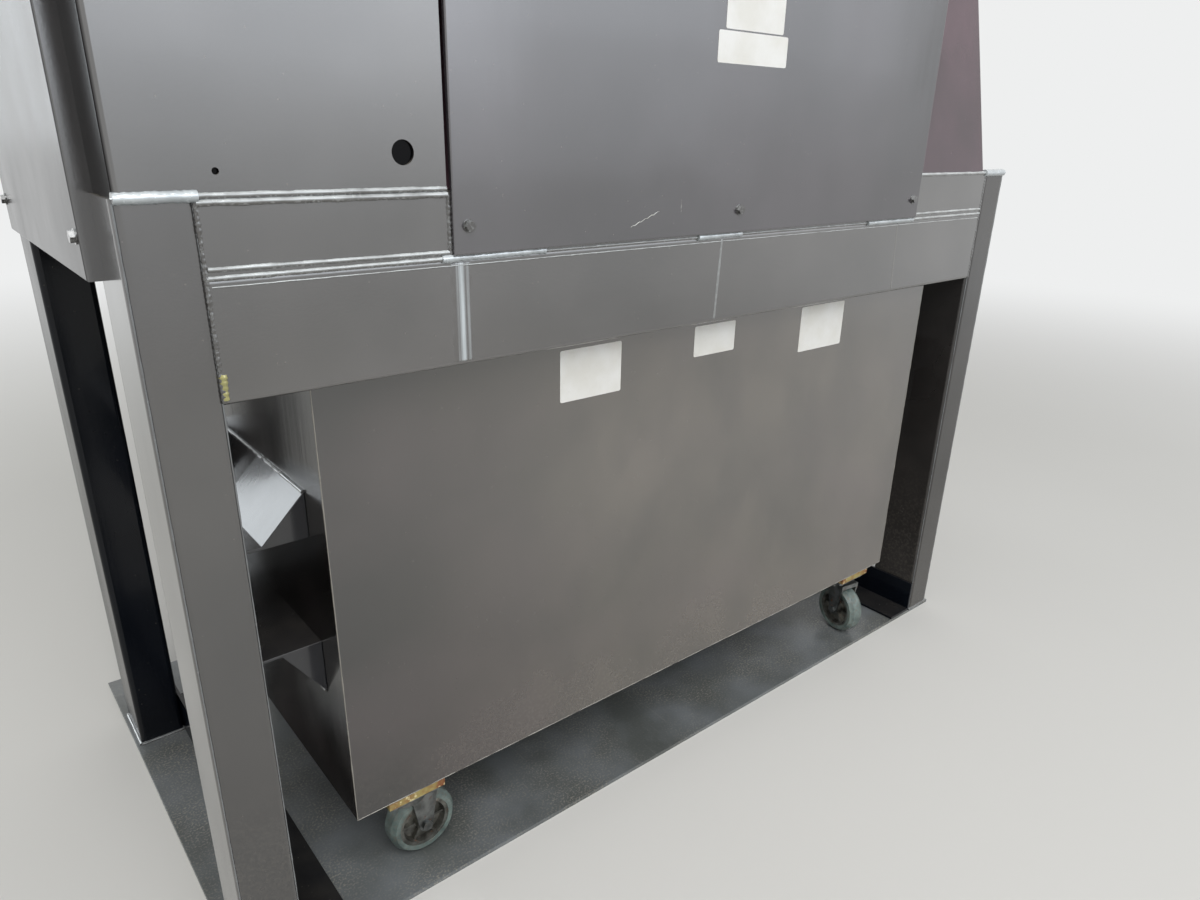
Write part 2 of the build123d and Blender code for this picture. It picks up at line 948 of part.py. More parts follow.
with BuildPart() as ram:
    block((-ram_half, ram_half), (ram_rear, ram_front), (platen_rest, platen_top))
    for rib_y in rib_rows:
        block(
            (rib_columns[0], rib_columns[-1]),
            (rib_y - rib_wall / 2, rib_y + rib_wall / 2),
            (platen_top, platen_top + rib_height),
        )
    for rib_x in rib_columns:
        if rib_x:
            block(
                (rib_x - rib_wall / 2, rib_x + rib_wall / 2),
                (rib_rows[0], rib_rows[-1]),
                (platen_top, platen_top + rib_height),
            )
    for side in (-1, 1):
        lug = (eye_half, eye_half + lug_wall) if side > 0 else (-eye_half - lug_wall, -eye_half)
        block(lug, (rib_rows[1], rib_rows[2]), (platen_top, rod_eye))
        rod_x(2 * rod_pin_radius, lug, ram_y, rod_eye)
        rod_x(rod_pin_radius + running_gap, lug, ram_y, rod_eye, mode=Mode.SUBTRACT)
        with BuildSketch(Plane.XZ.offset(-ram_y - wing_width / 2)) as wing:
            with BuildLine():
                Polyline(
                    (side * wing_inner, platen_top),
                    (side * wing_outer, platen_top),
                    (side * wing_outer, wing_bottom),
                    (side * wing_end, wing_bottom),
                    (side * wing_end, wing_bottom + wing_height),
                    (side * wing_inner, wing_bottom + wing_height),
                    close=True,
                )
            make_face()
        extrude(amount=wing_width)
        with BuildSketch(Plane.XZ.offset(-ram_y - wing_width / 2)) as wing_pocket:
            add(offset(wing.sketch_local, amount=-wing_wall, mode=Mode.PRIVATE))
        extrude(amount=(wing_width - wing_wall) / 2, mode=Mode.SUBTRACT)
        with BuildSketch(Plane.XZ.offset(wing_wall / 2 - ram_y)) as wing_pocket:
            add(offset(wing.sketch_local, amount=-wing_wall, mode=Mode.PRIVATE))
        extrude(amount=(wing_width - wing_wall) / 2, mode=Mode.SUBTRACT)
save(ram, "ram")

with BuildPart() as ram_shoes:
    for side in (-1, 1):
        reach = (wing_end, leg_inner - 2 * plate - shoe_gap)
        with BuildSketch(Plane.XY.offset(wing_bottom + (wing_height - shoe_height) / 2)):
            with Locations((side * middle(reach), ram_y)):
                Rectangle(length(reach), guide_opening - 2 * shoe_gap)
        extrude(amount=shoe_height)
save(ram_shoes, "ram_shoes")

with BuildPart() as cylinder_rod:
    rod_x(2 * rod_pin_radius, (running_gap * 10 - eye_half, eye_half - running_gap * 10), ram_y, rod_eye)
    rod_z(rod_radius, 0, ram_y, (rod_eye, piston_bottom))
    rod_z(bore_radius - running_gap, 0, ram_y, (piston_bottom, piston_top))
    rod_x(
        rod_pin_radius + running_gap,
        (-eye_half, eye_half),
        ram_y,
        rod_eye,
        mode=Mode.SUBTRACT,
    )
save(cylinder_rod, "cylinder_rod")


def cross_pin(radius, half, z):
    """A pin along X with a collar outside each lug."""
    with BuildPart() as pin:
        rod_x(radius, (-half - pin_collar, half + pin_collar), ram_y, z)
        rod_x(radius + pin_collar, (half + running_gap, half + pin_collar), ram_y, z)
        rod_x(radius + pin_collar, (-half - pin_collar, -half - running_gap), ram_y, z)
    return pin


save(cross_pin(rod_pin_radius, eye_half + lug_wall, rod_eye), "rod_pin")

top_eye_half = 40.0
top_eye_radius = 44.0

with BuildPart() as cylinder_barrel:
    rod_z(gland_radius, 0, ram_y, (gland_bottom, gland_top))
    rod_z(barrel_radius, 0, ram_y, (gland_top, barrel_top))
    block(
        (-top_eye_half, top_eye_half),
        (ram_y - top_eye_half, ram_y + top_eye_half),
        (barrel_top, barrel_eye),
    )
    rod_x(top_eye_radius, (-top_eye_half, top_eye_half), ram_y, barrel_eye)
    for port_z in (upper_port, lower_port):
        port_y = (ram_y - barrel_radius - port_reach, ram_y - bore_radius - port_inset)
        rod_y(port_radius, 0, port_y, port_z)
    rod_z(bore_radius, 0, ram_y, (gland_top, bore_top), mode=Mode.SUBTRACT)
    rod_z(rod_radius + running_gap, 0, ram_y, (gland_bottom, gland_top), mode=Mode.SUBTRACT)
    rod_x(
        barrel_pin_radius + running_gap,
        (-top_eye_half, top_eye_half),
        ram_y,
        barrel_eye,
        mode=Mode.SUBTRACT,
    )
save(cylinder_barrel, "cylinder_barrel")

save(cross_pin(barrel_pin_radius, top_eye_half + running_gap * 10 + lug_wall, barrel_eye), "barrel_pin")

# Tower over the roof

post_half = tower_post / 2
post_y = (ram_y - post_half, ram_y + post_half)

with BuildPart() as cylinder_tower:
    for side in (-1, 1):
        post_x = (side * tower_spread - post_half, side * tower_spread + post_half)
        with BuildSketch(Plane.XY.offset(roof_top)):
            with Locations((side * tower_spread, ram_y)):
                Rectangle(tower_post, tower_foot_length)
        extrude(amount=tower_foot)
        square_tube(post_x, post_y, (roof_top + tower_foot, tower_top), tower_wall, tower_corner)
        for end in (-1, 1):
            foot_end = ram_y + end * tower_foot_length / 2
            post_face = ram_y + end * post_half
            prism_x(
                [
                    (post_face, roof_top + tower_foot),
                    (foot_end, roof_top + tower_foot),
                    (post_face, roof_top + tower_foot + tower_foot_length / 2),
                ],
                (side * tower_spread - tower_wall, side * tower_spread + tower_wall),
            )
        lug = (top_eye_half + running_gap * 10, top_eye_half + running_gap * 10 + lug_wall)
        if side < 0:
            lug = (-lug[1], -lug[0])
        block(lug, (ram_y - top_eye_radius, ram_y + top_eye_radius), (barrel_eye, tower_beam_bottom))
        rod_x(top_eye_radius, lug, ram_y, barrel_eye)
        rod_x(barrel_pin_radius + running_gap, lug, ram_y, barrel_eye, mode=Mode.SUBTRACT)
    beam_half = tower_spread - post_half
    with BuildSketch(Plane.YZ.offset(-beam_half)):
        with Locations((ram_y, (tower_beam_bottom + tower_top) / 2)):
            Rectangle(tower_post, tower_beam_height)
            Rectangle(
                tower_post - 2 * tower_wall,
                tower_beam_height - 2 * tower_wall,
                mode=Mode.SUBTRACT,
            )
    extrude(amount=2 * beam_half)
    for side in (-1, 1):
        with BuildSketch(Plane.XY.offset(tower_top)):
            with Locations((side * tower_spread, ram_y)):
                RectangleRounded(tower_post, tower_post, tower_corner)
        extrude(amount=tower_wall)
save(cylinder_tower, "cylinder_tower")

# Power unit on the roof

tank_x = (tank_left, tank_left + tank_length)
tank_y = (tank_rear, tank_rear + tank_width)
tank_corner = 20.0
filler_inset = 90.0
filler_neck = 30.0
filler_cap = 38.0
filler_neck_height = 25.0
filler_cap_height = 20.0
gauge_radius = 12.0
gauge_stand = 8.0
gauge_low = 80.0
gauge_high = 200.0

with BuildPart() as oil_tank:
    with BuildSketch(Plane.XY.offset(tank_bottom)):
        with Locations((middle(tank_x), middle(tank_y))):
            RectangleRounded(tank_length, tank_width, tank_corner)
    extrude(amount=tank_height)
    with BuildSketch(Plane.XY.offset(tank_bottom + tank_wall)):
        with Locations((middle(tank_x), middle(tank_y))):
            RectangleRounded(
                tank_length - 2 * tank_wall,
                tank_width - 2 * tank_wall,
                tank_corner - tank_wall,
            )
    extrude(amount=tank_height - 2 * tank_wall, mode=Mode.SUBTRACT)
    for foot_x in (tank_x[0] + 2 * tank_corner, tank_x[1] - 2 * tank_corner):
        block((foot_x - tank_corner, foot_x + tank_corner), tank_y, (roof_top, tank_bottom))
    filler = (tank_x[0] + filler_inset, tank_y[0] + filler_inset)
    neck_top = tank_top + filler_neck_height
    rod_z(filler_neck, *filler, (tank_top, neck_top))
    rod_z(filler_cap, *filler, (neck_top, neck_top + filler_cap_height))
    gauge_y = (tank_y[0] - gauge_stand, tank_y[0])
    for gauge_z in (gauge_low, gauge_high):
        rod_y(gauge_radius, filler[0], gauge_y, tank_bottom + gauge_z)
    block(
        (filler[0] - gauge_radius / 2, filler[0] + gauge_radius / 2),
        (tank_y[0] - gauge_stand / 2, tank_y[0]),
        (tank_bottom + gauge_low, tank_bottom + gauge_high),
    )
save(oil_tank, "oil_tank")

motor_inset = 240.0
motor_offset = 30.0
motor_base = 14.0
fin_depth = 9.0
fin_wall = 4.0
fin_lap = 2.0
fin_gap = 5.0
fin_rise = 25.0
cowl_height = 55.0
terminal_half = 45.0
terminal_depth = 70.0
terminal_lap = 10.0
terminal_rise = 60.0
terminal_height = 90.0
motor_x = tank_x[0] + motor_inset
motor_y = middle(tank_y) + motor_offset
motor_bottom = tank_top + motor_base
motor_top = motor_bottom + motor_height
cowl_bottom = motor_top - cowl_height

with BuildPart() as pump_motor:
    rod_z(motor_radius + 2 * fin_depth, motor_x, motor_y, (tank_top, motor_bottom))
    rod_z(motor_radius, motor_x, motor_y, (motor_bottom, motor_top))
    with BuildSketch(Plane.XY.offset(motor_bottom + fin_rise)):
        with Locations((motor_x, motor_y)):
            with PolarLocations(motor_radius + (fin_depth - fin_lap) / 2, 2 * motor_fins):
                Rectangle(fin_depth + fin_lap, fin_wall)
    extrude(amount=cowl_bottom - fin_gap - motor_bottom - fin_rise)
    rod_z(motor_radius + fin_depth, motor_x, motor_y, (cowl_bottom, motor_top))
    terminal_front = motor_y - motor_radius + terminal_lap
    block(
        (motor_x - terminal_half, motor_x + terminal_half),
        (terminal_front - terminal_depth, terminal_front),
        (motor_bottom + terminal_rise, motor_bottom + terminal_rise + terminal_height),
    )
save(pump_motor, "pump_motor")

valve_x = (tank_x[1] - valve_length - valve_margin, tank_x[1] - valve_margin)
valve_y = (line_y - valve_width / 2, line_y + valve_width / 2)
valve_base_height = 85.0
valve_spool_margin = 15.0
valve_spool_inset = 35.0
valve_spool_height = 45.0
coil_radius = 20.0
coil_rise = 23.0
coil_reach = 25.0
valve_port = 15.0
lower_line_rise = 35.0
line_spacing = 30.0
lower_line = tank_top + lower_line_rise
upper_line = lower_line + line_spacing
valve_base_top = tank_top + valve_base_height

with BuildPart() as valve_block:
    block(valve_x, valve_y, (tank_top, valve_base_top))
    block(
        (valve_x[0] + valve_spool_margin, valve_x[1] - valve_spool_margin),
        (valve_y[0] + valve_spool_inset, valve_y[1] - valve_spool_inset),
        (valve_base_top, valve_base_top + valve_spool_height),
    )
    coil_z = valve_base_top + coil_rise
    rod_y(coil_radius, middle(valve_x), (valve_y[0] - coil_reach, valve_y[0] + valve_spool_inset), coil_z)
    rod_y(coil_radius, middle(valve_x), (valve_y[1] - valve_spool_inset, valve_y[1] + coil_reach), coil_z)
    for line_z in (lower_line, upper_line):
        rod_x(port_radius, (valve_x[1], valve_x[1] + valve_port), line_y, line_z)
save(valve_block, "valve_block")


def oil_line(start_z, port_z):
    """A bent tube from the valve block to a port on the rear of the barrel."""
    with BuildLine() as route:
        FilletPolyline(
            (valve_x[1] + valve_port, line_y, start_z),
            (0, line_y, start_z),
            (0, line_y, port_z),
            (0, ram_y - barrel_radius - port_reach, port_z),
            radius=(line_bend * 2, line_bend - line_radius),
        )
    with BuildSketch(Plane(origin=route.line @ 0, z_dir=route.line % 0)) as section:
        Circle(line_radius)
    sweep(section.sketch, path=route.line)


with BuildPart() as oil_lines:
    oil_line(upper_line, upper_port)
    oil_line(lower_line, lower_port)
save(oil_lines, "oil_lines")

# Loading door

with BuildPart() as loading_door:
    block((-door_half, door_half), (door_rear, door_front), (door_bottom, door_top))
    fillet(loading_door.faces().sort_by(Axis.Y)[-1].edges(), cover_bend)
    block(
        (sheet - door_half, door_half - sheet),
        (door_rear, door_front - sheet),
        (door_bottom + sheet, door_top - sheet),
        mode=Mode.SUBTRACT,
    )
    rail_x = (sheet - door_half, door_half - sheet)
    for rail_z in (door_bottom + door_rail_inset, door_top - door_rail_inset):
        rail_hollow = door_rail_half - door_rail_wall
        block(
            rail_x,
            (door_rear + door_rail_gap, door_front - sheet),
            (rail_z - door_rail_half, rail_z + door_rail_half),
        )
        block(
            rail_x,
            (door_rear + door_rail_gap, door_front - sheet - door_rail_wall),
            (rail_z - rail_hollow, rail_z + rail_hollow),
            mode=Mode.SUBTRACT,
        )
    for level in hinge_levels:
        span = (level - knuckle_height / 2, level + knuckle_height / 2)
        block((hinge_x - strap_length, hinge_x), (door_front, door_front + strap_wall), span)
        rod_z(hinge_radius, hinge_x, hinge_y, span)
        rod_z(hinge_pin_radius + running_gap, hinge_x, hinge_y, span, mode=Mode.SUBTRACT)
    latch_pad = door_front + strap_wall - latch_pad_gap
    stud_end = latch_front + keeper_gap
    block(
        (latch_x - latch_pad_side, latch_x + latch_pad_half),
        (door_front, latch_pad),
        (latch_height - latch_pad_half, latch_height + latch_pad_half),
    )
    rod_y(latch_stud, latch_x, (latch_pad, stud_end), latch_height)
    rod_y(latch_stud + stud_head, latch_x, (stud_end, stud_end + stud_head_height), latch_height)
save(loading_door, "loading_door")

with BuildPart() as hinge_pins:
    for level in hinge_levels:
        pin_half = 1.5 * knuckle_height + knuckle_gap
        head_low = level + pin_half + pin_gap
        rod_z(hinge_pin_radius, hinge_x, hinge_y, (level - pin_half, head_low))
        rod_z((hinge_radius + hinge_pin_radius) / 2, hinge_x, hinge_y, (head_low, head_low + pin_head))
save(hinge_pins, "hinge_pins")

with BuildPart() as door_latch:
    with BuildSketch(Plane.XZ.offset(-latch_front)):
        with Locations((latch_x, latch_height)):
            Circle(latch_hub)
        with Locations((latch_x, latch_height - latch_reach / 2)):
            Rectangle(latch_bar, latch_reach)
        with Locations((latch_x, latch_height)):
            Circle(latch_stud + running_gap, mode=Mode.SUBTRACT)
    extrude(amount=latch_wall)
    grip_z = latch_height - latch_grip_at
    stem_end = latch_front + latch_grip_stem
    rod_y(handle_radius, latch_x, (latch_front, stem_end), grip_z)
    rod_y(handle_radius + knob_rim, latch_x, (stem_end, stem_end + latch_grip_knob), grip_z)
save(door_latch, "door_latch")

# Control station

with BuildPart() as control_box:
    block((station_left, station_right), (front_face, station_front), (station_bottom, station_top))
    block(
        (station_left + station_wall, station_right - station_wall),
        (front_face + station_wall, station_front),
        (station_bottom + station_wall, station_top - station_wall),
        mode=Mode.SUBTRACT,
    )
    box_knuckles = (
        (lid_knuckle_low, lid_middle_low - lid_gap),
        (lid_middle_high + lid_gap, lid_knuckle_high),
    )
    for span in box_knuckles:
        block(
            (lid_hinge_x - lid_hinge_radius, station_left),
            (station_front - station_depth / 4, lid_hinge_y - lid_hinge_radius / 2),
            span,
        )
        rod_z(lid_hinge_radius, lid_hinge_x, lid_hinge_y, span)
    rod_z(lid_pin_radius, lid_hinge_x, lid_hinge_y, (lid_knuckle_low, lid_knuckle_high))
save(control_box, "control_box")

with BuildPart() as control_lid:
    block(
        (station_left - lid_lap, station_right + lid_lap),
        (lid_rear, lid_front),
        (station_bottom - lid_lap, station_top + lid_lap),
    )
    fillet(control_lid.edges().filter_by(Axis.Y), lid_pin_radius)
    lid_knuckle = (lid_middle_low, lid_middle_high)
    block((lid_hinge_x, station_left), (lid_rear, lid_front), lid_knuckle)
    rod_z(lid_hinge_radius, lid_hinge_x, lid_hinge_y, lid_knuckle)
    rod_z(lid_pin_radius + running_gap, lid_hinge_x, lid_hinge_y, lid_knuckle, mode=Mode.SUBTRACT)
    for device_z in (start_height, stop_height, key_height):
        rod_y(bezel_radius, station_middle, (lid_front, lid_front + bezel_height), device_z)
        rod_y(
            button_radius + button_gap,
            station_middle,
            (lid_rear - 1, lid_front + bezel_height + 1),
            device_z,
            mode=Mode.SUBTRACT,
        )
save(control_lid, "control_lid")

button_rear = lid_rear - device_depth
bezel_front = lid_front + bezel_height

with BuildPart() as start_button:
    rod_y(button_radius, station_middle, (button_rear, bezel_front + start_travel), start_height)
save(start_button, "start_button")

mushroom_rear = bezel_front + stop_travel + running_gap

with BuildPart() as stop_button:
    rod_y(button_radius, station_middle, (button_rear, mushroom_rear), stop_height)
    rod_y(
        bezel_radius + mushroom_rim,
        station_middle,
        (mushroom_rear, mushroom_rear + mushroom_height),
        stop_height,
    )
    fillet(stop_button.faces().sort_by(Axis.Y)[-1].edges(), mushroom_round)
save(stop_button, "stop_button")

key_front = bezel_front + lid_gap

with BuildPart() as key_switch:
    rod_y(button_radius, station_middle, (button_rear, key_front), key_height)
    block(
        (station_middle - key_blade_half, station_middle + key_blade_half),
        (key_front, key_front + key_blade_length),
        (key_height - key_blade_width, key_height + key_blade_width),
    )
save(key_switch, "key_switch")

# Container

with BuildPart() as container_body:
    block(
        (-container_side, container_side),
        (container_rear, container_front),
        (container_bottom, container_top),
    )
    block(
        (container_wall - container_side, container_side - container_wall),
        (container_rear + container_wall, container_front - container_wall),
        (container_bottom + container_floor, container_top - container_wall),
        mode=Mode.SUBTRACT,
    )
    block(
        (rim_width - container_side, container_side - rim_width),
        (container_rear + rim_width, container_front - rim_width),
        (container_top - container_wall, container_top),
        mode=Mode.SUBTRACT,
    )
    block(
        (rim_width - container_wall - container_side, container_side + container_wall - rim_width),
        (container_rear + rim_width - container_wall, container_front - rim_width + container_wall),
        (container_top - rim_drop, container_top - container_wall),
    )
    block(
        (rim_width - container_side, container_side - rim_width),
        (container_rear + rim_width, container_front - rim_width),
        (container_top - rim_drop, container_top),
        mode=Mode.SUBTRACT,
    )
save(container_body, "container_body")


def fork_pocket(side):
    """Sleeve for a lifting fork, with sloping caps above it and brackets below."""
    wall = side * container_side
    inner = side * (container_side + pocket_clear_width)
    outer = side * (container_side + pocket_clear_width + pocket_wall)
    low = pocket_bottom - pocket_wall
    high = pocket_top + pocket_wall
    pocket_y = (pocket_rear, pocket_front)
    cap_out = side * (container_side + cap_rise)
    skin = pocket_wall * math.sqrt(2)
    with BuildPart() as pocket:
        prism_y(
            [
                (wall, low),
                (outer, low),
                (outer, high),
                (wall, high),
                (wall, pocket_top),
                (inner, pocket_top),
                (inner, pocket_bottom),
                (wall, pocket_bottom),
            ],
            pocket_y,
        )
        caps = (
            (pocket_rear, pocket_rear + cap_length),
            (pocket_front - cap_length, pocket_front),
        )
        for cap_y in caps:
            prism_y([(wall, high), (cap_out, high), (wall, high + cap_rise)], cap_y)
            prism_y(
                [
                    (wall, high),
                    (cap_out - side * skin, high),
                    (wall, high + cap_rise - skin),
                ],
                (cap_y[0] + pocket_wall, cap_y[1] - pocket_wall),
                mode=Mode.SUBTRACT,
            )
        for gusset_y in (pocket_rear, middle(pocket_y), pocket_front - gusset_wall):
            prism_y(
                [
                    (wall, low),
                    (wall + side * gusset_width, low),
                    (wall, low - gusset_drop),
                ],
                (gusset_y, gusset_y + gusset_wall),
            )
    return pocket


save(fork_pocket(-1), "pocket_left")
save(fork_pocket(1), "pocket_right")

keeper_end = leg_x - hold_reach
keeper_front = hold_arm_rear - keeper_gap
keeper_low = hold_height - hold_bar
keeper_high = hold_height + hold_bar / 2 + keeper_gap

with BuildPart() as front_fittings:
    for side in (-1, 1):
        low_x = side * handle_x - handle_spread / 2
        high_x = side * handle_x + handle_spread / 2
        handle_end = container_front + handle_stand
        with BuildLine() as bar:
            FilletPolyline(
                (low_x, container_front, handle_height),
                (low_x, handle_end, handle_height),
                (high_x, handle_end, handle_height),
                (high_x, container_front, handle_height),
                radius=3 * handle_radius,
            )
        with BuildSketch(Plane(origin=bar.line @ 0, z_dir=bar.line % 0)) as section:
            Circle(handle_radius)
        sweep(section.sketch, path=bar.line)
    for side in (-1, 1):
        strap = (keeper_end - hold_bar, keeper_end + hold_bar / 2)
        prism_x(
            [
                (container_front, keeper_low),
                (keeper_front, keeper_low),
                (keeper_front, keeper_high),
                (keeper_front + 2 * hold_wall, keeper_high),
                (keeper_front + 2 * hold_wall, keeper_high + hold_wall),
                (container_front, keeper_high + hold_wall),
                (container_front, keeper_high),
                (keeper_front - hold_wall, keeper_high),
                (keeper_front - hold_wall, keeper_low + hold_wall),
                (container_front, keeper_low + hold_wall),
            ],
            strap if side > 0 else (-strap[1], -strap[0]),
        )
save(front_fittings, "front_fittings")

# Casters


def caster_plane(x, y, turn):
    """The plane through a caster's swivel axis that holds its rolling direction and Z."""
    angle = math.radians(turn)
    along = (math.cos(angle), math.sin(angle), 0)
    return Plane(origin=(x, y, 0), x_dir=along, z_dir=(along[1], -along[0], 0))


def fork_legs(frame, trail, top):
    """Two plates that carry the wheel, and the axle bolt through them."""
    for cheek in (-1, 1):
        start = cheek * (fork_inner + fork_wall / 2) - fork_wall / 2
        with BuildSketch(frame.offset(start)) as outline:
            with BuildLine():
                Polyline(
                    (trail - fork_half, top),
                    (trail + fork_half, top),
                    (trail + axle_boss, axle_height),
                    (trail - axle_boss, axle_height),
                    close=True,
                )
            make_face()
            with Locations((trail, axle_height)):
                Circle(axle_boss)
        extrude(outline.sketch, amount=fork_wall)
    axle_half = fork_inner + fork_wall + axle_head
    with BuildSketch(frame.offset(-axle_half)) as axle:
        with Locations((trail, axle_height)):
            Circle(axle_radius)
    extrude(axle.sketch, amount=2 * axle_half)
    for cheek in (-1, 1):
        start = cheek * (axle_half - axle_head / 2) - axle_head / 2
        with BuildSketch(frame.offset(start)) as head:
            with Locations((trail, axle_height)):
                RegularPolygon(1.5 * axle_radius, 6)
        extrude(head.sketch, amount=axle_head)


bolt_pitch = caster_plate - 2 * plate_bolt_inset

with BuildPart() as caster_plates:
    for x_side in (-1, 1):
        for y_side in (-1, 1):
            with BuildSketch(Plane.XY.offset(pad_bottom)):
                with Locations((x_side * caster_x, y_side * caster_y)):
                    Rectangle(pad_size, pad_size)
            extrude(amount=pad_thickness)
            with BuildSketch(Plane.XY.offset(plate_bottom)):
                with Locations((x_side * caster_x, y_side * caster_y)):
                    RectangleRounded(caster_plate, caster_plate, plate_bolt)
            extrude(amount=caster_plate_thickness)
            with BuildSketch(Plane.XY.offset(plate_bottom - plate_bolt_head)):
                with Locations((x_side * caster_x, y_side * caster_y)):
                    with GridLocations(bolt_pitch, bolt_pitch, 2, 2):
                        RegularPolygon(plate_bolt, 6)
            extrude(amount=plate_bolt_head)
            if y_side < 0:
                with BuildSketch(Plane.XY.offset(head_bottom)):
                    with Locations((x_side * caster_x, y_side * caster_y)):
                        Circle(swivel_head_radius)
                extrude(amount=swivel_head_height)
                rod_z(
                    kingpin_radius + running_gap,
                    x_side * caster_x,
                    y_side * caster_y,
                    (head_bottom, pad_bottom),
                    mode=Mode.SUBTRACT,
                )
            else:
                frame = caster_plane(x_side * caster_x, y_side * caster_y, front_turn)
                fork_legs(frame, 0, plate_bottom)
save(caster_plates, "caster_plates")


def swivel_fork(x, turn):
    """The turning half of a swivel caster: kingpin, crown, two plates and the axle."""
    frame = caster_plane(x, -caster_y, turn)
    along = frame.x_dir
    with BuildPart() as fork:
        rod_z(swivel_head_radius - fork_clear, x, -caster_y, (crown_bottom, crown_top))
        rod_z(kingpin_radius, x, -caster_y, (crown_bottom, pad_bottom - fork_gap))
        crown = Plane(origin=(x, -caster_y, crown_bottom), x_dir=along, z_dir=(0, 0, 1))
        with BuildSketch(crown):
            with Locations((caster_trail / 2, 0)):
                Rectangle(caster_trail + 4 * crown_margin, 2 * (fork_inner + fork_wall))
        extrude(amount=crown_height)
        fork_legs(frame, caster_trail, crown_bottom + fork_gap)
    return fork


def wheel_pieces(x, y, turn, trail):
    """A cast hub with ribs in its recessed faces, and the crowned tyre moulded on it."""
    frame = caster_plane(x, y, turn)
    centre = frame.origin + frame.x_dir * trail + Vector(0, 0, axle_height)
    spin = Plane(origin=centre, x_dir=(0, 0, 1), z_dir=frame.x_dir)
    wheel = Plane(origin=centre, x_dir=frame.x_dir, z_dir=spin.y_dir)
    rim = wheel_radius - tyre_thickness
    half = wheel_width / 2
    bore = axle_radius + running_gap
    boss = bore + hub_boss_wall
    flange = half - hub_flange
    web = half / 3
    inner_rim = rim - hub_rim_wall
    with BuildPart() as hub:
        with BuildSketch(spin) as section:
            with BuildLine():
                Polyline(
                    (bore, -hub_half),
                    (boss, -hub_half),
                    (boss + hub_flange, -web),
                    (inner_rim - 2 * hub_flange, -web),
                    (inner_rim, -flange),
                    (rim, -flange),
                    (rim, flange),
                    (inner_rim, flange),
                    (inner_rim - 2 * hub_flange, web),
                    (boss + hub_flange, web),
                    (boss, hub_half),
                    (bore, hub_half),
                    close=True,
                )
            make_face()
        revolve(axis=Axis(centre, spin.y_dir))
        rib_reach = (boss + inner_rim) / 2
        with BuildSketch(wheel.offset(-2 * web)) as ribs:
            with PolarLocations(rib_reach, hub_ribs):
                Rectangle(inner_rim - boss + 2 * hub_flange, hub_rib_wall)
        extrude(ribs.sketch, amount=4 * web)
    with BuildPart() as tyre:
        with BuildSketch(spin):
            with BuildLine():
                Polyline(
                    (rim, -half),
                    (rim + tyre_thickness * 0.55, -half),
                    (wheel_radius, -half * 0.55),
                    (wheel_radius, half * 0.55),
                    (rim + tyre_thickness * 0.55, half),
                    (rim, half),
                    close=True,
                )
            make_face()
        revolve(axis=Axis(centre, spin.y_dir))
    return hub, tyre


casters = (
    ("rear_left", -caster_x, -caster_y, rear_left_turn, caster_trail),
    ("rear_right", caster_x, -caster_y, rear_right_turn, caster_trail),
    ("front_left", -caster_x, caster_y, front_turn, 0),
    ("front_right", caster_x, caster_y, front_turn, 0),
)

for caster_name, at_x, at_y, turn, trail in casters:
    hub, tyre = wheel_pieces(at_x, at_y, turn, trail)
    save(hub, f"wheel_hub_{caster_name}")
    save(tyre, f"tyre_{caster_name}")

save(swivel_fork(-caster_x, rear_left_turn), "swivel_fork_left")
save(swivel_fork(caster_x, rear_right_turn), "swivel_fork_right")


def hold_latch(side):
    """A swinging bar on a front leg that closes across the container."""
    pivot = side * leg_x
    grip_rear = hold_arm_rear + hold_wall
    grip_top = hold_height - hold_grip_at
    with BuildPart() as latch:
        rod_y(hold_hub, pivot, (hold_hub_rear, hold_hub_front), hold_height)
        with BuildSketch(Plane.XZ.offset(-hold_arm_rear - hold_wall)) as arm:
            with Locations((pivot, hold_height - hold_reach / 2)):
                Rectangle(hold_bar, hold_reach)
            with Locations((pivot, hold_height - hold_reach)):
                Circle(hold_bar / 2)
        extrude(arm.sketch, amount=hold_wall)
        with BuildLine() as grip:
            FilletPolyline(
                (pivot, grip_rear, grip_top),
                (pivot, grip_rear + hold_grip_stand, grip_top),
                (pivot, grip_rear + hold_grip_stand, grip_top - hold_grip_drop),
                radius=3 * handle_radius,
            )
        with BuildSketch(Plane(origin=grip.line @ 0, z_dir=grip.line % 0)) as section:
            Circle(handle_radius)
        sweep(section.sketch, path=grip.line)
        rod_y(
            hold_stud + running_gap,
            pivot,
            (hold_hub_rear, hold_hub_front),
            hold_height,
            mode=Mode.SUBTRACT,
        )
    return latch


save(hold_latch(-1), "hold_latch_left")
save(hold_latch(1), "hold_latch_right")
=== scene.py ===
import math

import bpy
from mathutils import Matrix, Vector


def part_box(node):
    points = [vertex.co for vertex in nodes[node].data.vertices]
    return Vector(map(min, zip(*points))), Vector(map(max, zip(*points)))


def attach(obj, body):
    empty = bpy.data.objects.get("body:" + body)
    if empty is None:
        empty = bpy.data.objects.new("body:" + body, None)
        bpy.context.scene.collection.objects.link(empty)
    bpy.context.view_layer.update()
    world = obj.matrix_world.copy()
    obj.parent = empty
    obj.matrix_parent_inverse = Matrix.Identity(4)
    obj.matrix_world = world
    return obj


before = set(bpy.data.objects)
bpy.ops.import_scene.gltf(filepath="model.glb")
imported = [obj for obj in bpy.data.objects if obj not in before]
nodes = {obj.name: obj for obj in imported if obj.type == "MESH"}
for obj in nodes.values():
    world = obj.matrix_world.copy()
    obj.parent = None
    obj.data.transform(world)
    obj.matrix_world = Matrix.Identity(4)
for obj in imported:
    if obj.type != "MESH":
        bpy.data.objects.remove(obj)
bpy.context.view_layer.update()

MM = 0.001
# The Mix node's sockets in its colour mode: its labels alone don't tell the modes apart
SHARE, UNDER, OVER = 0, 6, 7
BLEND = {"out": 2, "data_type": "RGBA"}


# Helpers


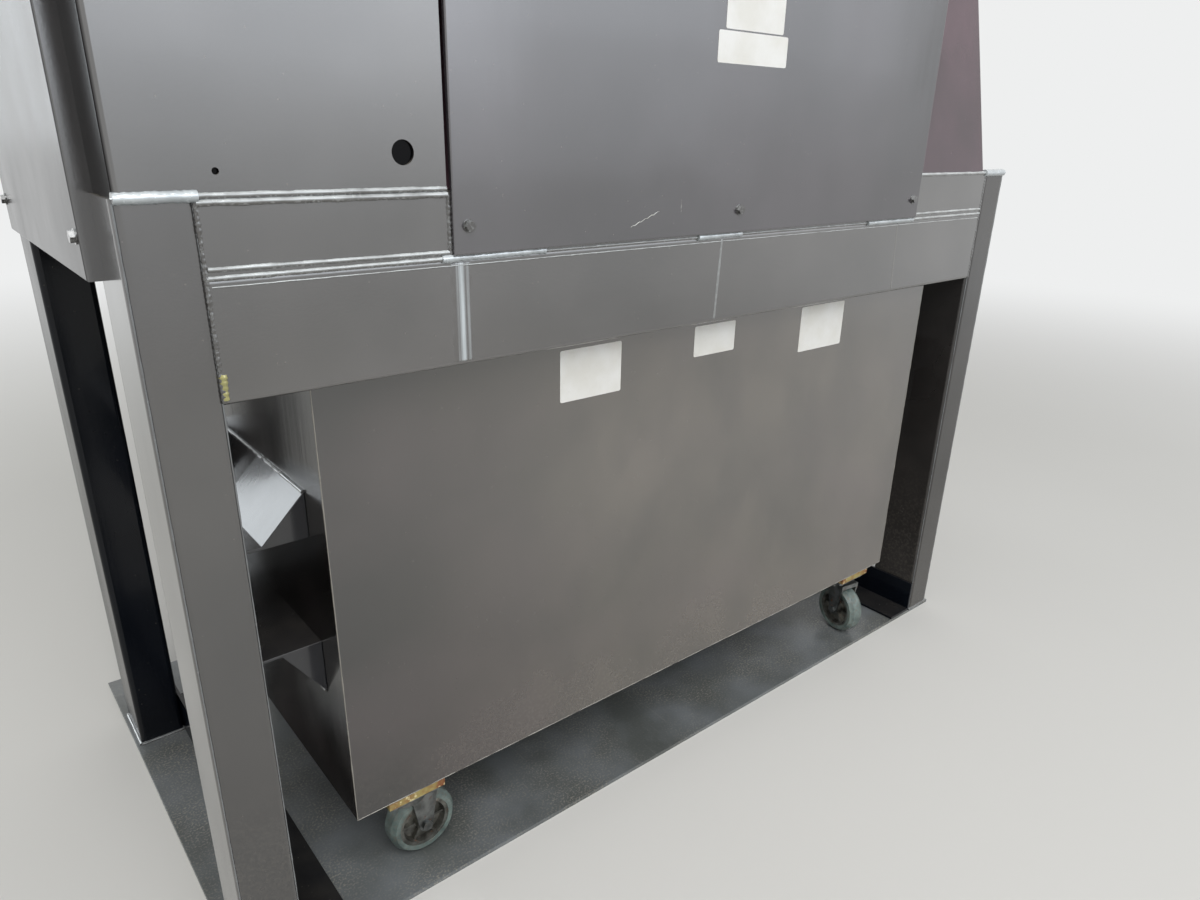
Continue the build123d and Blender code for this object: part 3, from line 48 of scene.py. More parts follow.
def paint(code):
    """An sRGB hex colour as linear red, green, blue and alpha."""
    shares = [int(code[i:i + 2], 16) / 255 for i in (1, 3, 5)]
    linear = [s / 12.92 if s <= 0.04045 else ((s + 0.055) / 1.055) ** 2.4 for s in shares]
    return (*linear, 1.0)


def add(tree, kind, inputs=None, out=None, **settings):
    """Adds a node with its settings and its inputs' values or links; out picks an output of it."""
    made = tree.nodes.new(kind)
    for name, value in settings.items():
        setattr(made, name, value)
    for socket, value in (inputs or {}).items():
        if isinstance(value, bpy.types.NodeSocket):
            tree.links.new(value, made.inputs[socket])
        else:
            made.inputs[socket].default_value = value
    return made if out is None else made.outputs[out]


def new_finish(name):
    """An empty material: the material, its tree and the piece's own coordinates."""
    material = bpy.data.materials.new(name)
    material.use_nodes = True
    material.node_tree.nodes.clear()
    place = add(material.node_tree, "ShaderNodeTexCoord", out="Object")
    return material, material.node_tree, place


def surface(tree, inputs):
    """The surface shader that the patterns feed, joined to the output."""
    shader = add(tree, "ShaderNodeBsdfPrincipled", inputs, "BSDF")
    add(tree, "ShaderNodeOutputMaterial", {"Surface": shader})


# Patterns, their sizes in millimetres


def patches(tree, place, size, low, high, least=0.0, most=1.0, detail=3.0, stretch=(1, 1, 1)):
    """Soft-edged patches about size across, drawn out by stretch: least between, most in them."""
    scale = [1 / (size * MM * share) for share in stretch]
    spread = add(tree, "ShaderNodeMapping", {"Vector": place, "Scale": scale}, 0)
    noise = {"Vector": spread, "Scale": 1.0, "Detail": detail}
    cloud = add(tree, "ShaderNodeTexNoise", noise, "Fac")
    ends = {"Value": cloud, "From Min": low, "From Max": high, "To Min": least, "To Max": most}
    return add(tree, "ShaderNodeMapRange", ends, "Result")


def relief(tree, place, size, depth, under=None, detail=1.0, stretch=(1, 1, 1)):
    """Hills and hollows about size across and depth high, on top of another relief."""
    height = patches(tree, place, size, 0.0, 1.0, detail=detail, stretch=stretch)
    inputs = {"Height": height, "Distance": depth * MM}
    if under is not None:
        inputs["Normal"] = under
    return add(tree, "ShaderNodeBump", inputs, "Normal")


def facing_up(tree, low=0.25, high=0.9):
    """1 where the surface faces up, 0 on a wall and below."""
    normal = add(tree, "ShaderNodeNewGeometry", out="Normal")
    rise = add(tree, "ShaderNodeSeparateXYZ", {0: normal}, "Z")
    span = {"Value": rise, "From Min": low, "From Max": high}
    return add(tree, "ShaderNodeMapRange", span, "Result")


def settled_dust(tree, place, size, least, most):
    """Dust lying in patches on what faces up."""
    lying = patches(tree, place, size, 0.3, 0.7, least, most)
    return add(tree, "ShaderNodeMath", {0: facing_up(tree), 1: lying}, 0, operation="MULTIPLY")


def rain_marks(tree, place, spacing, radius, strength):
    """Small round marks where drops dried, in only some of the places."""
    cells = add(tree, "ShaderNodeTexVoronoi", {"Vector": place, "Scale": 1 / (spacing * MM)})
    reach = radius / spacing
    edge = {"Value": cells.outputs["Distance"], "From Min": reach * 0.6, "From Max": reach}
    dot = add(tree, "ShaderNodeMapRange", {**edge, "To Min": 1.0, "To Max": 0.0}, "Result")
    pick = add(tree, "ShaderNodeSeparateColor", {0: cells.outputs["Color"]}, 0)
    kept = {"Value": pick, "From Min": 0.80, "From Max": 0.92, "To Max": strength}
    share = add(tree, "ShaderNodeMapRange", kept, "Result")
    return add(tree, "ShaderNodeMath", {0: dot, 1: share}, 0, operation="MULTIPLY")


def across(tree, place, axis, low, high, least, most):
    """A smooth change along one axis of the piece, from low to high."""
    way = add(tree, "ShaderNodeSeparateXYZ", {0: place}, axis)
    ends = {
        "Value": way, "From Min": low * MM, "From Max": high * MM, "To Min": least, "To Max": most,
    }
    return add(tree, "ShaderNodeMapRange", ends, "Result", interpolation_type="SMOOTHSTEP")


# Finishes

MACHINE_SPAN = (-1100, 1100)
ENAMEL_IOR, COAT_IOR = 1.6, 1.7
WET_COAT = 0.11
DUST, OLD_DUST, DIRT, RUST = "#a39a8b", "#a39b8c", "#6d675d", "#6e4327"


def black_enamel(
    name, deep="#2c2a28", hazed="#454240", shine_and_reflection_span=None, splash=0.0, dust=0.3, gloss=(1.0, 1.0),
    tint=None, sides=1.0,
):
    """Gloss black enamel, air-dried on rolled sheet. The eye sees a deep wet shine on sheets that
    aren't quite flat, a slight orange peel, a dull film that comes and goes in large clouds, faint
    marks where rain dried, and pale dust on what faces up. A given span along X is where the film
    comes in, and gloss is the shine at the left and at the right end of that span, or else of the
    machine; towards the left of a given span the colour is darker, as a painted reflection of the
    dark ground close by. Sides is the share of the shine left on faces turned to the left or right,
    which overspray dulled; those faces are also darkened towards black, as painted shade. A tint
    adds long warm streaks in large patches, as a painted reflection of ground and trees. Low down,
    about the splash height, thrown dirt dulls the shine and leaves pale specks."""
    material, tree, place = new_finish(name)
    shine = across(tree, place, "X", *(shine_and_reflection_span or MACHINE_SPAN), *gloss)
    # Faces turned to the left or right: less shine, and a darkening that is painted shade
    if sides < 1:
        normal = add(tree, "ShaderNodeNewGeometry", out="Normal")
        turned = add(tree, "ShaderNodeSeparateXYZ", {0: normal}, "X")
        turned = add(tree, "ShaderNodeMath", {0: turned}, 0, operation="ABSOLUTE")
        span = {"Value": turned, "From Min": 0.5, "From Max": 0.9}
        dulled = add(tree, "ShaderNodeMapRange", {**span, "To Min": 1.0, "To Max": sides}, "Result")
        side_shade_span = {**span, "To Min": 0.0, "To Max": 0.75 * (1 - sides)}
        painted_side_shade = add(tree, "ShaderNodeMapRange", side_shade_span, "Result")
        shine = add(tree, "ShaderNodeMath", {0: shine, 1: dulled}, 0, operation="MULTIPLY")
    if splash:
        clean = across(tree, place, "Z", 0.4 * splash, 2 * splash, 0.68, 1.0)
        shine = add(tree, "ShaderNodeMath", {0: shine, 1: clean}, 0, operation="MULTIPLY")
    film = patches(tree, place, 420, 0.36, 0.66, detail=4.0)
    # Film held back towards the left of the span: darker colour there is a painted reflection
    if shine_and_reflection_span:
        painted_reflection_ramp = across(tree, place, "X", *shine_and_reflection_span, 0.0, 1.0)
        film = add(tree, "ShaderNodeMath", {0: film, 1: 0.45}, 0, operation="MULTIPLY")
        film = add(tree, "ShaderNodeMath", {0: film, 1: 0.55}, 0, operation="ADD")
        film = add(tree, "ShaderNodeMath", {0: film, 1: painted_reflection_ramp}, 0, operation="MULTIPLY")
    tone = add(
        tree, "ShaderNodeMix", {SHARE: film, UNDER: paint(deep), OVER: paint(hazed)}, **BLEND
    )
    smear = patches(tree, place, 120, 0.42, 0.70, 0.0, 0.35, 4.0, (1, 1, 1.6))
    tone = add(tree, "ShaderNodeMix", {SHARE: smear, UNDER: tone, OVER: paint(deep)}, **BLEND)
    # Long warm streaks of the tint colour: a painted reflection of ground and trees
    if tint:
        painted_reflection_streaks = patches(tree, place, 260, 0.42, 0.72, 0.0, 0.32, 2.0, (1.6, 1, 1))
        tone = add(tree, "ShaderNodeMix", {SHARE: painted_reflection_streaks, UNDER: tone, OVER: paint(tint)}, **BLEND)
    drops = rain_marks(tree, place, 11, 1.6, 0.14)
    lying = settled_dust(tree, place, 60, dust, 2 * dust)
    grime = add(tree, "ShaderNodeMath", {0: drops, 1: lying}, 0, operation="MAXIMUM")
    if splash:
        low = across(tree, place, "Z", 0.4 * splash, splash, 0.07, 0.0)
        speck = patches(tree, place, 7, 0.46, 0.66, detail=5.0)
        thrown = add(tree, "ShaderNodeMath", {0: low, 1: speck}, 0, operation="MULTIPLY")
        grime = add(tree, "ShaderNodeMath", {0: grime, 1: thrown}, 0, operation="MAXIMUM")
    tone = add(tree, "ShaderNodeMix", {SHARE: grime, UNDER: tone, OVER: paint(DUST)}, **BLEND)
    # Faces turned to the left or right darkened towards near-black: painted shade
    if sides < 1:
        tone = add(
            tree, "ShaderNodeMix", {SHARE: painted_side_shade, UNDER: tone, OVER: paint("#08080a")}, **BLEND
        )
    haze = patches(tree, place, 130, 0.3, 0.7, 0.16, 0.25, 3.0, (1, 1, 2))
    rough = add(tree, "ShaderNodeMath", {0: grime, 1: 0.5, 2: haze}, 0, operation="MULTIPLY_ADD")
    sheet = relief(tree, place, 300, 3.5)
    drawn = relief(tree, place, 16, 0.10, sheet, stretch=(1, 1, 30))
    peel = relief(tree, place, 4.0, 0.035, drawn)
    surface(tree, {
        "Base Color": tone, "Roughness": rough, "Normal": peel, "Coat Normal": peel,
        "IOR": ENAMEL_IOR, "Specular IOR Level": shine,
        "Coat Weight": shine, "Coat Roughness": WET_COAT, "Coat IOR": COAT_IOR,
    })
    return material


def yard_floor(name):
    """The same enamel on the floor plate, dulled by boots and casters. The eye sees a patchy
    half-shine, grit in drifts, and long scrapes the way the casters roll."""
    material, tree, place = new_finish(name)
    patch = patches(tree, place, 220, 0.38, 0.62, detail=5.0)
    tone = add(
        tree, "ShaderNodeMix", {SHARE: patch, UNDER: paint("#515452"), OVER: paint("#6b6f71")}, **BLEND
    )
    grit = patches(tree, place, 5, 0.50, 0.66, detail=5.0)
    drift = patches(tree, place, 300, 0.40, 0.62, 0.08, 0.7, 4.0)
    lying = add(tree, "ShaderNodeMath", {0: grit, 1: drift}, 0, operation="MULTIPLY")
    tone = add(tree, "ShaderNodeMix", {SHARE: lying, UNDER: tone, OVER: paint("#a09a8e")}, **BLEND)
    scrape = patches(tree, place, 9, 0.64, 0.76, 0.0, 0.22, 3.0, (1, 25, 1))
    tone = add(tree, "ShaderNodeMix", {SHARE: scrape, UNDER: tone, OVER: paint("#868685")}, **BLEND)
    rough = patches(tree, place, 150, 0.3, 0.7, 0.30, 0.60, 4.0)
    grain = relief(tree, place, 5, 0.5, relief(tree, place, 200, 2.5), 5.0)
    surface(tree, {
        "Base Color": tone, "Roughness": rough, "Normal": grain,
        "Coat Weight": 0.3, "Coat Roughness": 0.22,
    })
    return material


def weld_enamel(name, dark="#4a4846", bright="#cacecd", crown=(-0.35, 0.55), speck=0.3):
    """Enamel over a weld bead: black in the toes, and light, partly metallic colour along the crown
    that faces up and in flecks, as a painted highlight of silver light.
    """
    material, tree, place = new_finish(name)
    lit = facing_up(tree, *crown)
    glint_flecks = patches(tree, place, 5, 0.50, 0.68, 0.0, speck)
    lit = add(tree, "ShaderNodeMath", {0: lit, 1: glint_flecks}, 0, operation="MAXIMUM")
    drift = patches(tree, place, 30, 0.30, 0.60, 0.45, 1.0, 4.0)
    lit = add(tree, "ShaderNodeMath", {0: lit, 1: drift}, 0, operation="MULTIPLY")
    tone = add(
        tree, "ShaderNodeMix", {SHARE: lit, UNDER: paint(dark), OVER: paint(bright)}, **BLEND
    )
    metal_share = add(tree, "ShaderNodeMath", {0: lit, 1: 0.4}, 0, operation="MULTIPLY")
    rough = patches(tree, place, 12, 0.3, 0.7, 0.14, 0.30)
    bubbles = relief(tree, place, 4, 0.25, detail=2.0)
    surface(tree, {
        "Base Color": tone, "Roughness": rough, "Metallic": metal_share, "Normal": bubbles,
        "Coat Weight": 1.0, "Coat Roughness": 0.06, "Coat IOR": COAT_IOR,
    })
    return material


def ground_enamel(name, middle, core, offset):
    """Enamel over a weld that was ground down: upright bands painted light as a painted highlight
    where grinding lines would catch the light, brightest on the crown, with a fainter band where the
    wheel ran out beside it."""
    material, tree, place = new_finish(name)
    crown = (middle, core, 1.0)
    right_line = (middle + offset, core * 0.6, 0.4)
    left_line = (middle - offset * 0.7, core * 0.4, 0.3)
    lines = []
    for centre, half, strength in (crown, right_line, left_line):
        rise = across(tree, place, "X", centre - 2 * half, centre - half * 0.4, 0.0, strength)
        fall = across(tree, place, "X", centre + half * 0.4, centre + 2 * half, 1.0, 0.0)
        lines.append(add(tree, "ShaderNodeMath", {0: rise, 1: fall}, 0, operation="MULTIPLY"))
    lit = add(tree, "ShaderNodeMath", {0: lines[0], 1: lines[1]}, 0, operation="MAXIMUM")
    lit = add(tree, "ShaderNodeMath", {0: lit, 1: lines[2]}, 0, operation="MAXIMUM")
    brushed = patches(tree, place, 2.5, 0.30, 0.62, 0.45, 1.0, 3.0, (1, 1, 50))
    lit = add(tree, "ShaderNodeMath", {0: lit, 1: brushed}, 0, operation="MULTIPLY")
    tone = add(
        tree, "ShaderNodeMix", {SHARE: lit, UNDER: paint("#383533"), OVER: paint("#b7bfc2")}, **BLEND
    )
    grain = relief(tree, place, 2.5, 0.05, detail=3.0, stretch=(1, 1, 50))
    surface(tree, {
        "Base Color": tone, "Roughness": 0.22, "Normal": grain,
        "IOR": ENAMEL_IOR, "Specular IOR Level": 1.0,
        "Coat Weight": 1.0, "Coat Roughness": WET_COAT, "Coat IOR": COAT_IOR,
    })
    return material


def metal(name, light, dark, grain, roughness, direction=(1, 1, 1), rust=0.0):
    """Bare or plated steel. The eye sees a tone that drifts between light and dark, a fine grain
    the way it was worked, and brown bloom in the patches that the weather has reached."""
    material, tree, place = new_finish(name)
    drift = patches(tree, place, 20, 0.35, 0.65)
    tone = add(
        tree, "ShaderNodeMix", {SHARE: drift, UNDER: paint(light), OVER: paint(dark)}, **BLEND
    )
    least, roughest = roughness * 0.75, roughness * 1.25
    rough = patches(tree, place, grain, 0.3, 0.7, least, roughest, 3.0, direction)
    start, full, most = 0.72 - 0.3 * rust, 0.80 - 0.2 * rust, min(1.0, 3 * rust)
    bloom = patches(tree, place, 12, start, full, 0.0, most, 5.0)
    tone = add(tree, "ShaderNodeMix", {SHARE: bloom, UNDER: tone, OVER: paint(RUST)}, **BLEND)
    rough = add(tree, "ShaderNodeMath", {0: bloom, 1: 0.45, 2: rough}, 0, operation="MULTIPLY_ADD")
    bare = add(tree, "ShaderNodeMath", {0: 1.0, 1: bloom}, 0, operation="SUBTRACT")
    marks = relief(tree, place, grain, grain * 0.08, detail=3.0, stretch=direction)
    surface(tree, {"Base Color": tone, "Roughness": rough, "Metallic": bare, "Normal": marks})
    return material


def moulded(name, colour, faded, roughness, pebble=0.8, grime=0.3):
    """Moulded plastic or cast polyurethane: a soft shine on a fine texture, faded and dusty in
    places."""
    material, tree, place = new_finish(name)
    old = patches(tree, place, 30, 0.35, 0.65)
    tone = add(
        tree, "ShaderNodeMix", {SHARE: old, UNDER: paint(colour), OVER: paint(faded)}, **BLEND
    )
    dirt = patches(tree, place, 8, 0.48, 0.68, 0.0, grime, 5.0)
    tone = add(tree, "ShaderNodeMix", {SHARE: dirt, UNDER: tone, OVER: paint(DIRT)}, **BLEND)
    rough = add(tree, "ShaderNodeMath", {0: dirt, 1: 0.4, 2: roughness}, 0, operation="MULTIPLY_ADD")
    texture = relief(tree, place, pebble, pebble * 0.06, detail=2.0)
    surface(tree, {"Base Color": tone, "Roughness": rough, "Normal": texture, "Coat Weight": 0.15})
    return material


def machine_grey(name, colour, faded):
    """Cast and sheet parts in thick grey machine paint. The eye sees a dull shine, slight runs,
    a film of oil in places and dust on top."""
    material, tree, place = new_finish(name)
    old = patches(tree, place, 50, 0.35, 0.65)
    tone = add(
        tree, "ShaderNodeMix", {SHARE: old, UNDER: paint(colour), OVER: paint(faded)}, **BLEND
    )
    oil = patches(tree, place, 35, 0.56, 0.70, 0.0, 0.5, 4.0, (1, 1, 3))
    tone = add(tree, "ShaderNodeMix", {SHARE: oil, UNDER: tone, OVER: paint("#3d3a34")}, **BLEND)
    dust = settled_dust(tree, place, 20, 0.2, 0.7)
    tone = add(tree, "ShaderNodeMix", {SHARE: dust, UNDER: tone, OVER: paint(OLD_DUST)}, **BLEND)
    rough = add(tree, "ShaderNodeMath", {0: dust, 1: 0.32}, 0, operation="ADD")
    skin = relief(tree, place, 2, 0.1, detail=3.0)
    surface(tree, {"Base Color": tone, "Roughness": rough, "Normal": skin, "Coat Weight": 0.3})
    return material


def caster_mount(name, pad_bottom):
    """Caster pads left in yellow primer that rust stains, over zinc-plated caster plates."""
    material, tree, place = new_finish(name)
    on_pad = across(tree, place, "Z", pad_bottom - 0.5, pad_bottom + 0.5, 0.0, 1.0)
    stain = patches(tree, place, 30, 0.40, 0.62, detail=5.0)
    primer = add(
        tree, "ShaderNodeMix", {SHARE: stain, UNDER: paint("#9a8c55"), OVER: paint("#7a4b2a")}, **BLEND
    )
    chip = patches(tree, place, 10, 0.60, 0.68)
    primer = add(
        tree, "ShaderNodeMix", {SHARE: chip, UNDER: primer, OVER: paint("#c8b98a")}, **BLEND
    )
    drift = patches(tree, place, 15, 0.35, 0.65)
    plated = add(
        tree, "ShaderNodeMix", {SHARE: drift, UNDER: paint("#8d8f8f"), OVER: paint("#5c5e5f")}, **BLEND
    )
    tone = add(tree, "ShaderNodeMix", {SHARE: on_pad, UNDER: plated, OVER: primer}, **BLEND)
    metal_span = {"Value": on_pad, "To Min": 0.85, "To Max": 0.0}
    bare = add(tree, "ShaderNodeMapRange", metal_span, "Result")
    rough_span = {"Value": on_pad, "To Min": 0.36, "To Max": 0.72}
    rough = add(tree, "ShaderNodeMapRange", rough_span, "Result")
    grain = relief(tree, place, 3, 0.3, detail=4.0)
    surface(tree, {"Base Color": tone, "Roughness": rough, "Metallic": bare, "Normal": grain})
    return material


def label_vinyl(name, colour):
    """Blank printed vinyl. The eye sees satin white, a shade yellower in places, a little dust
    and the slight wave of the sheet under it."""
    material, tree, place = new_finish(name)
    old = patches(tree, place, 60, 0.35, 0.65)
    tone = add(
        tree, "ShaderNodeMix", {SHARE: old, UNDER: paint(colour), OVER: paint("#d3d1ca")}, **BLEND
    )
    dirt = patches(tree, place, 6, 0.62, 0.80, 0.0, 0.15, 5.0)
    tone = add(tree, "ShaderNodeMix", {SHARE: dirt, UNDER: tone, OVER: paint("#b3afa4")}, **BLEND)
    rough = add(tree, "ShaderNodeMath", {0: dirt, 1: 0.34}, 0, operation="ADD")
    wave = relief(tree, place, 80, 0.12)
    surface(tree, {"Base Color": tone, "Roughness": rough, "Normal": wave, "Coat Weight": 0.2})
    return material


LEFT_SEAM_X = -641
PAD_BOTTOM = 200
enamel = black_enamel("gloss_black_enamel")
leg_enamel = black_enamel("leg_enamel", "#282625", "#3c3937", splash=600, gloss=(0.92, 0.42))
# Sides below 1 darken the faces turned to the left or right: painted shade
side_enamel = black_enamel("side_cover_enamel", "#252424", "#383635", gloss=(0.9, 0.9), sides=0.22)
panel_enamel = black_enamel("enclosure_enamel", sides=0.02)
cover_enamel = black_enamel("service_cover_enamel", "#29272a", "#3e3a3e", gloss=(0.95, 0.60))
wall_enamel = black_enamel("rear_wall_enamel", "#36282d", "#573f48", gloss=(0.36, 0.36))
# The front legs, guides and rails: the frame's enamel made near-black and bluish, a copy in painted
# shade
shaded_inner_enamel = black_enamel("shaded_inner_enamel", "#080b11", "#0f131a", gloss=(0.12, 0.12), dust=0.03)
pocket_enamel = black_enamel("pocket_enamel", "#15161a", "#232429", gloss=(0.42, 0.42), dust=0.05)
# Its darker left end and warm streaks are painted reflection, its darker side faces painted shade
container_enamel = black_enamel(
    "container_enamel", "#1b1917", "#554e45", (-930, -150), splash=450, gloss=(0.80, 1.0),
    tint="#574b4b", sides=0.5,
)
floor_finish = yard_floor("floor_enamel")
screw_finish = weld_enamel("painted_screw", "#3a3836", "#b5b9b9", (0.1, 1.0), 0.25)
# Light lines along container and leg edges: painted highlights
edge_highlight_finish = weld_enamel("painted_edge_highlight", "#5f5c57", "#99958a", (-0.6, 0.6), 0.6)
leg_highlight_finish = weld_enamel("painted_leg_highlight", "#4b4b4c", "#7f8486", (-0.6, 0.6), 0.4)
crown_finish = weld_enamel("weld_crown")
broad_finish = weld_enamel("broad_weld", "#71777a", "#cdd3d5", (-0.9, 0.3), 0.6)
bead_finish = weld_enamel("weld_bead", "#3d3b39", "#8f9292", (0.2, 1.0), 0.55)
primer_finish = weld_enamel("bare_primer", "#7d7a45", "#b3ab62", (-0.4, 0.6), 0.5)
seam_finish = ground_enamel("ground_seam", LEFT_SEAM_X, 4.0, 12.0)
narrow_finish = weld_enamel("narrow_seam", "#757776", "#a3a8a8", (0.2, 1.0), 0.5)
faint_finish = weld_enamel("painted_seam", "#55534f", "#7b7b78", (0.2, 1.0), 0.5)
zinc = metal("zinc_plated_steel", "#a3a5a6", "#77797a", 1.5, 0.34, rust=0.25)
pin_steel = metal("turned_pin_steel", "#8b8d8e", "#6b6d6e", 1.0, 0.26, rust=0.2)
chrome = metal("chromed_rod", "#c9ccd0", "#b4b8bd", 0.8, 0.07, (20, 20, 1))
cast_hub = metal("cast_iron_hub", "#92918b", "#63625d", 2.0, 0.40, rust=0.3)
fork_steel = metal("pressed_caster_steel", "#868887", "#5f6160", 1.8, 0.38, rust=0.35)
tyre_cast = moulded("cast_polyurethane", "#4a5956", "#707d78", 0.36, grime=0.6)
shoe_nylon = moulded("slide_nylon", "#d8d2bf", "#c0b89f", 0.45)
green_cap = moulded("green_button", "#1f7a3c", "#2b8a49", 0.28, grime=0.12)
red_cap = moulded("red_button", "#b3201c", "#c23a2c", 0.28, grime=0.12)
shade_enamel = black_enamel("hole_shade", "#040405", "#08080a", gloss=(0.05, 0.05), dust=0.0)
key_metal = metal("key_barrel", "#a9abac", "#8d8f90", 1.0, 0.22)
motor_paint = machine_grey("motor_grey", "#6f777c", "#626a6e")
valve_steel = metal("valve_block_steel", "#8f9498", "#767b7f", 1.2, 0.30, (1, 14, 1))
line_steel = metal("oil_line_steel", "#7c8084", "#686c70", 1.0, 0.30)
station_paint = machine_grey("station_grey", "#8b8f90", "#7d8182")
mount_finish = caster_mount("caster_mount", PAD_BOTTOM)
vinyl = label_vinyl("blank_vinyl", "#dcdbd7")
scratch_steel = metal("scratched_steel", "#dcdcd6", "#b9b8ae", 1.0, 0.45)

finish_of = {
    floor_finish: ["floor_plate"],
    screw_finish: ["cover_bolts"],
    leg_enamel: ["leg_rear_left", "leg_rear_right"],
    side_enamel: ["side_cover"],
    cover_enamel: ["service_cover"],
    panel_enamel: ["enclosure_panel"],
    wall_enamel: ["rear_wall"],
    shaded_inner_enamel: ["leg_front_left", "leg_front_right", "guide_left", "guide_right", "side_rails"],
    pin_steel: ["barrel_pin", "rod_pin", "hinge_pins"],
    chrome: ["cylinder_rod"],
    shoe_nylon: ["ram_shoes"],
    green_cap: ["start_button"],
    red_cap: ["stop_button"],
    key_metal: ["key_switch"],
    motor_paint: ["pump_motor"],
    valve_steel: ["valve_block"],
    line_steel: ["oil_lines"],
    station_paint: ["control_box", "control_lid"],
    mount_finish: ["caster_plates"],
    fork_steel: ["swivel_fork_left", "swivel_fork_right"],
    container_enamel: ["container_body", "front_fittings"],
    pocket_enamel: ["pocket_left", "pocket_right"],
}
wheel_places = ("rear_left", "rear_right", "front_left", "front_right")
finish_of[cast_hub] = [f"wheel_hub_{place}" for place in wheel_places]
finish_of[tyre_cast] = [f"tyre_{place}" for place in wheel_places]
chosen = {name: material for material, names in finish_of.items() for name in names}
for name, piece in nodes.items():
    piece.data.materials.clear()
    piece.data.materials.append(chosen.get(name, enamel))


# Pieces made by rules


def new_tree(name, inputs):
    """A geometry tree with named inputs: the tree, its inputs' identifiers and their sockets."""
    tree = bpy.data.node_groups.new(name, "GeometryNodeTree")
    new_socket = tree.interface.new_socket
    kinds = {
        label: new_socket(name=label, in_out="INPUT", socket_type="NodeSocket" + kind).identifier
        for label, kind in inputs.items()
    }
    new_socket(name="Geometry", in_out="OUTPUT", socket_type="NodeSocketGeometry")
    return tree, kinds, add(tree, "NodeGroupInput").outputs


def close_tree(tree, geometry, finish):
    """Makes the tree's instances real, gives them the finish and joins them to the output."""
    real = add(tree, "GeometryNodeRealizeInstances", {0: geometry}, 0)
    done = add(tree, "GeometryNodeSetMaterial", {"Geometry": real, "Material": finish}, 0)
    add(tree, "NodeGroupOutput", {0: done})


def solid(name, points, faces, finish):
    """A mesh of points in metres and the faces between them, in a finish."""
    mesh = bpy.data.meshes.new(name)
    mesh.from_pydata(points, [], faces)
    mesh.materials.append(finish)
    return mesh


def keep(mesh, name, body):
    """A finished mesh as a piece that goes with a body."""
    piece = bpy.data.objects.new(name, mesh)
    bpy.context.scene.collection.objects.link(piece)
    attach(piece, body)


def bake(made, values, points, edges, name, body):
    """Runs a geometry tree on a mesh of points and edges, and keeps what it makes."""
    tree, kinds, _ = made
    path = bpy.data.meshes.new(name)
    path.from_pydata([point[:3] for point in points], edges, [])
    if len(points[0]) > 3:
        way = path.attributes.new("way", "FLOAT_VECTOR", "POINT")
        for i, point in enumerate(points):
            way.data[i].vector = point[3:6]
    holder = bpy.data.objects.new(name, path)
    bpy.context.scene.collection.objects.link(holder)
    modifier = holder.modifiers.new("shape", "NODES")
    modifier.node_group = tree
    for label, value in values.items():
        modifier[kinds[label]] = value
    graph = bpy.context.evaluated_depsgraph_get()
    mesh = bpy.data.meshes.new_from_object(holder.evaluated_get(graph))
    mesh.name = name
    bpy.data.objects.remove(holder)
    keep(mesh, name, body)


# How many swings of the welder's hand, and of the bead's width, there are to a metre
SWAYS, SWELLS = 60.0, 28.0


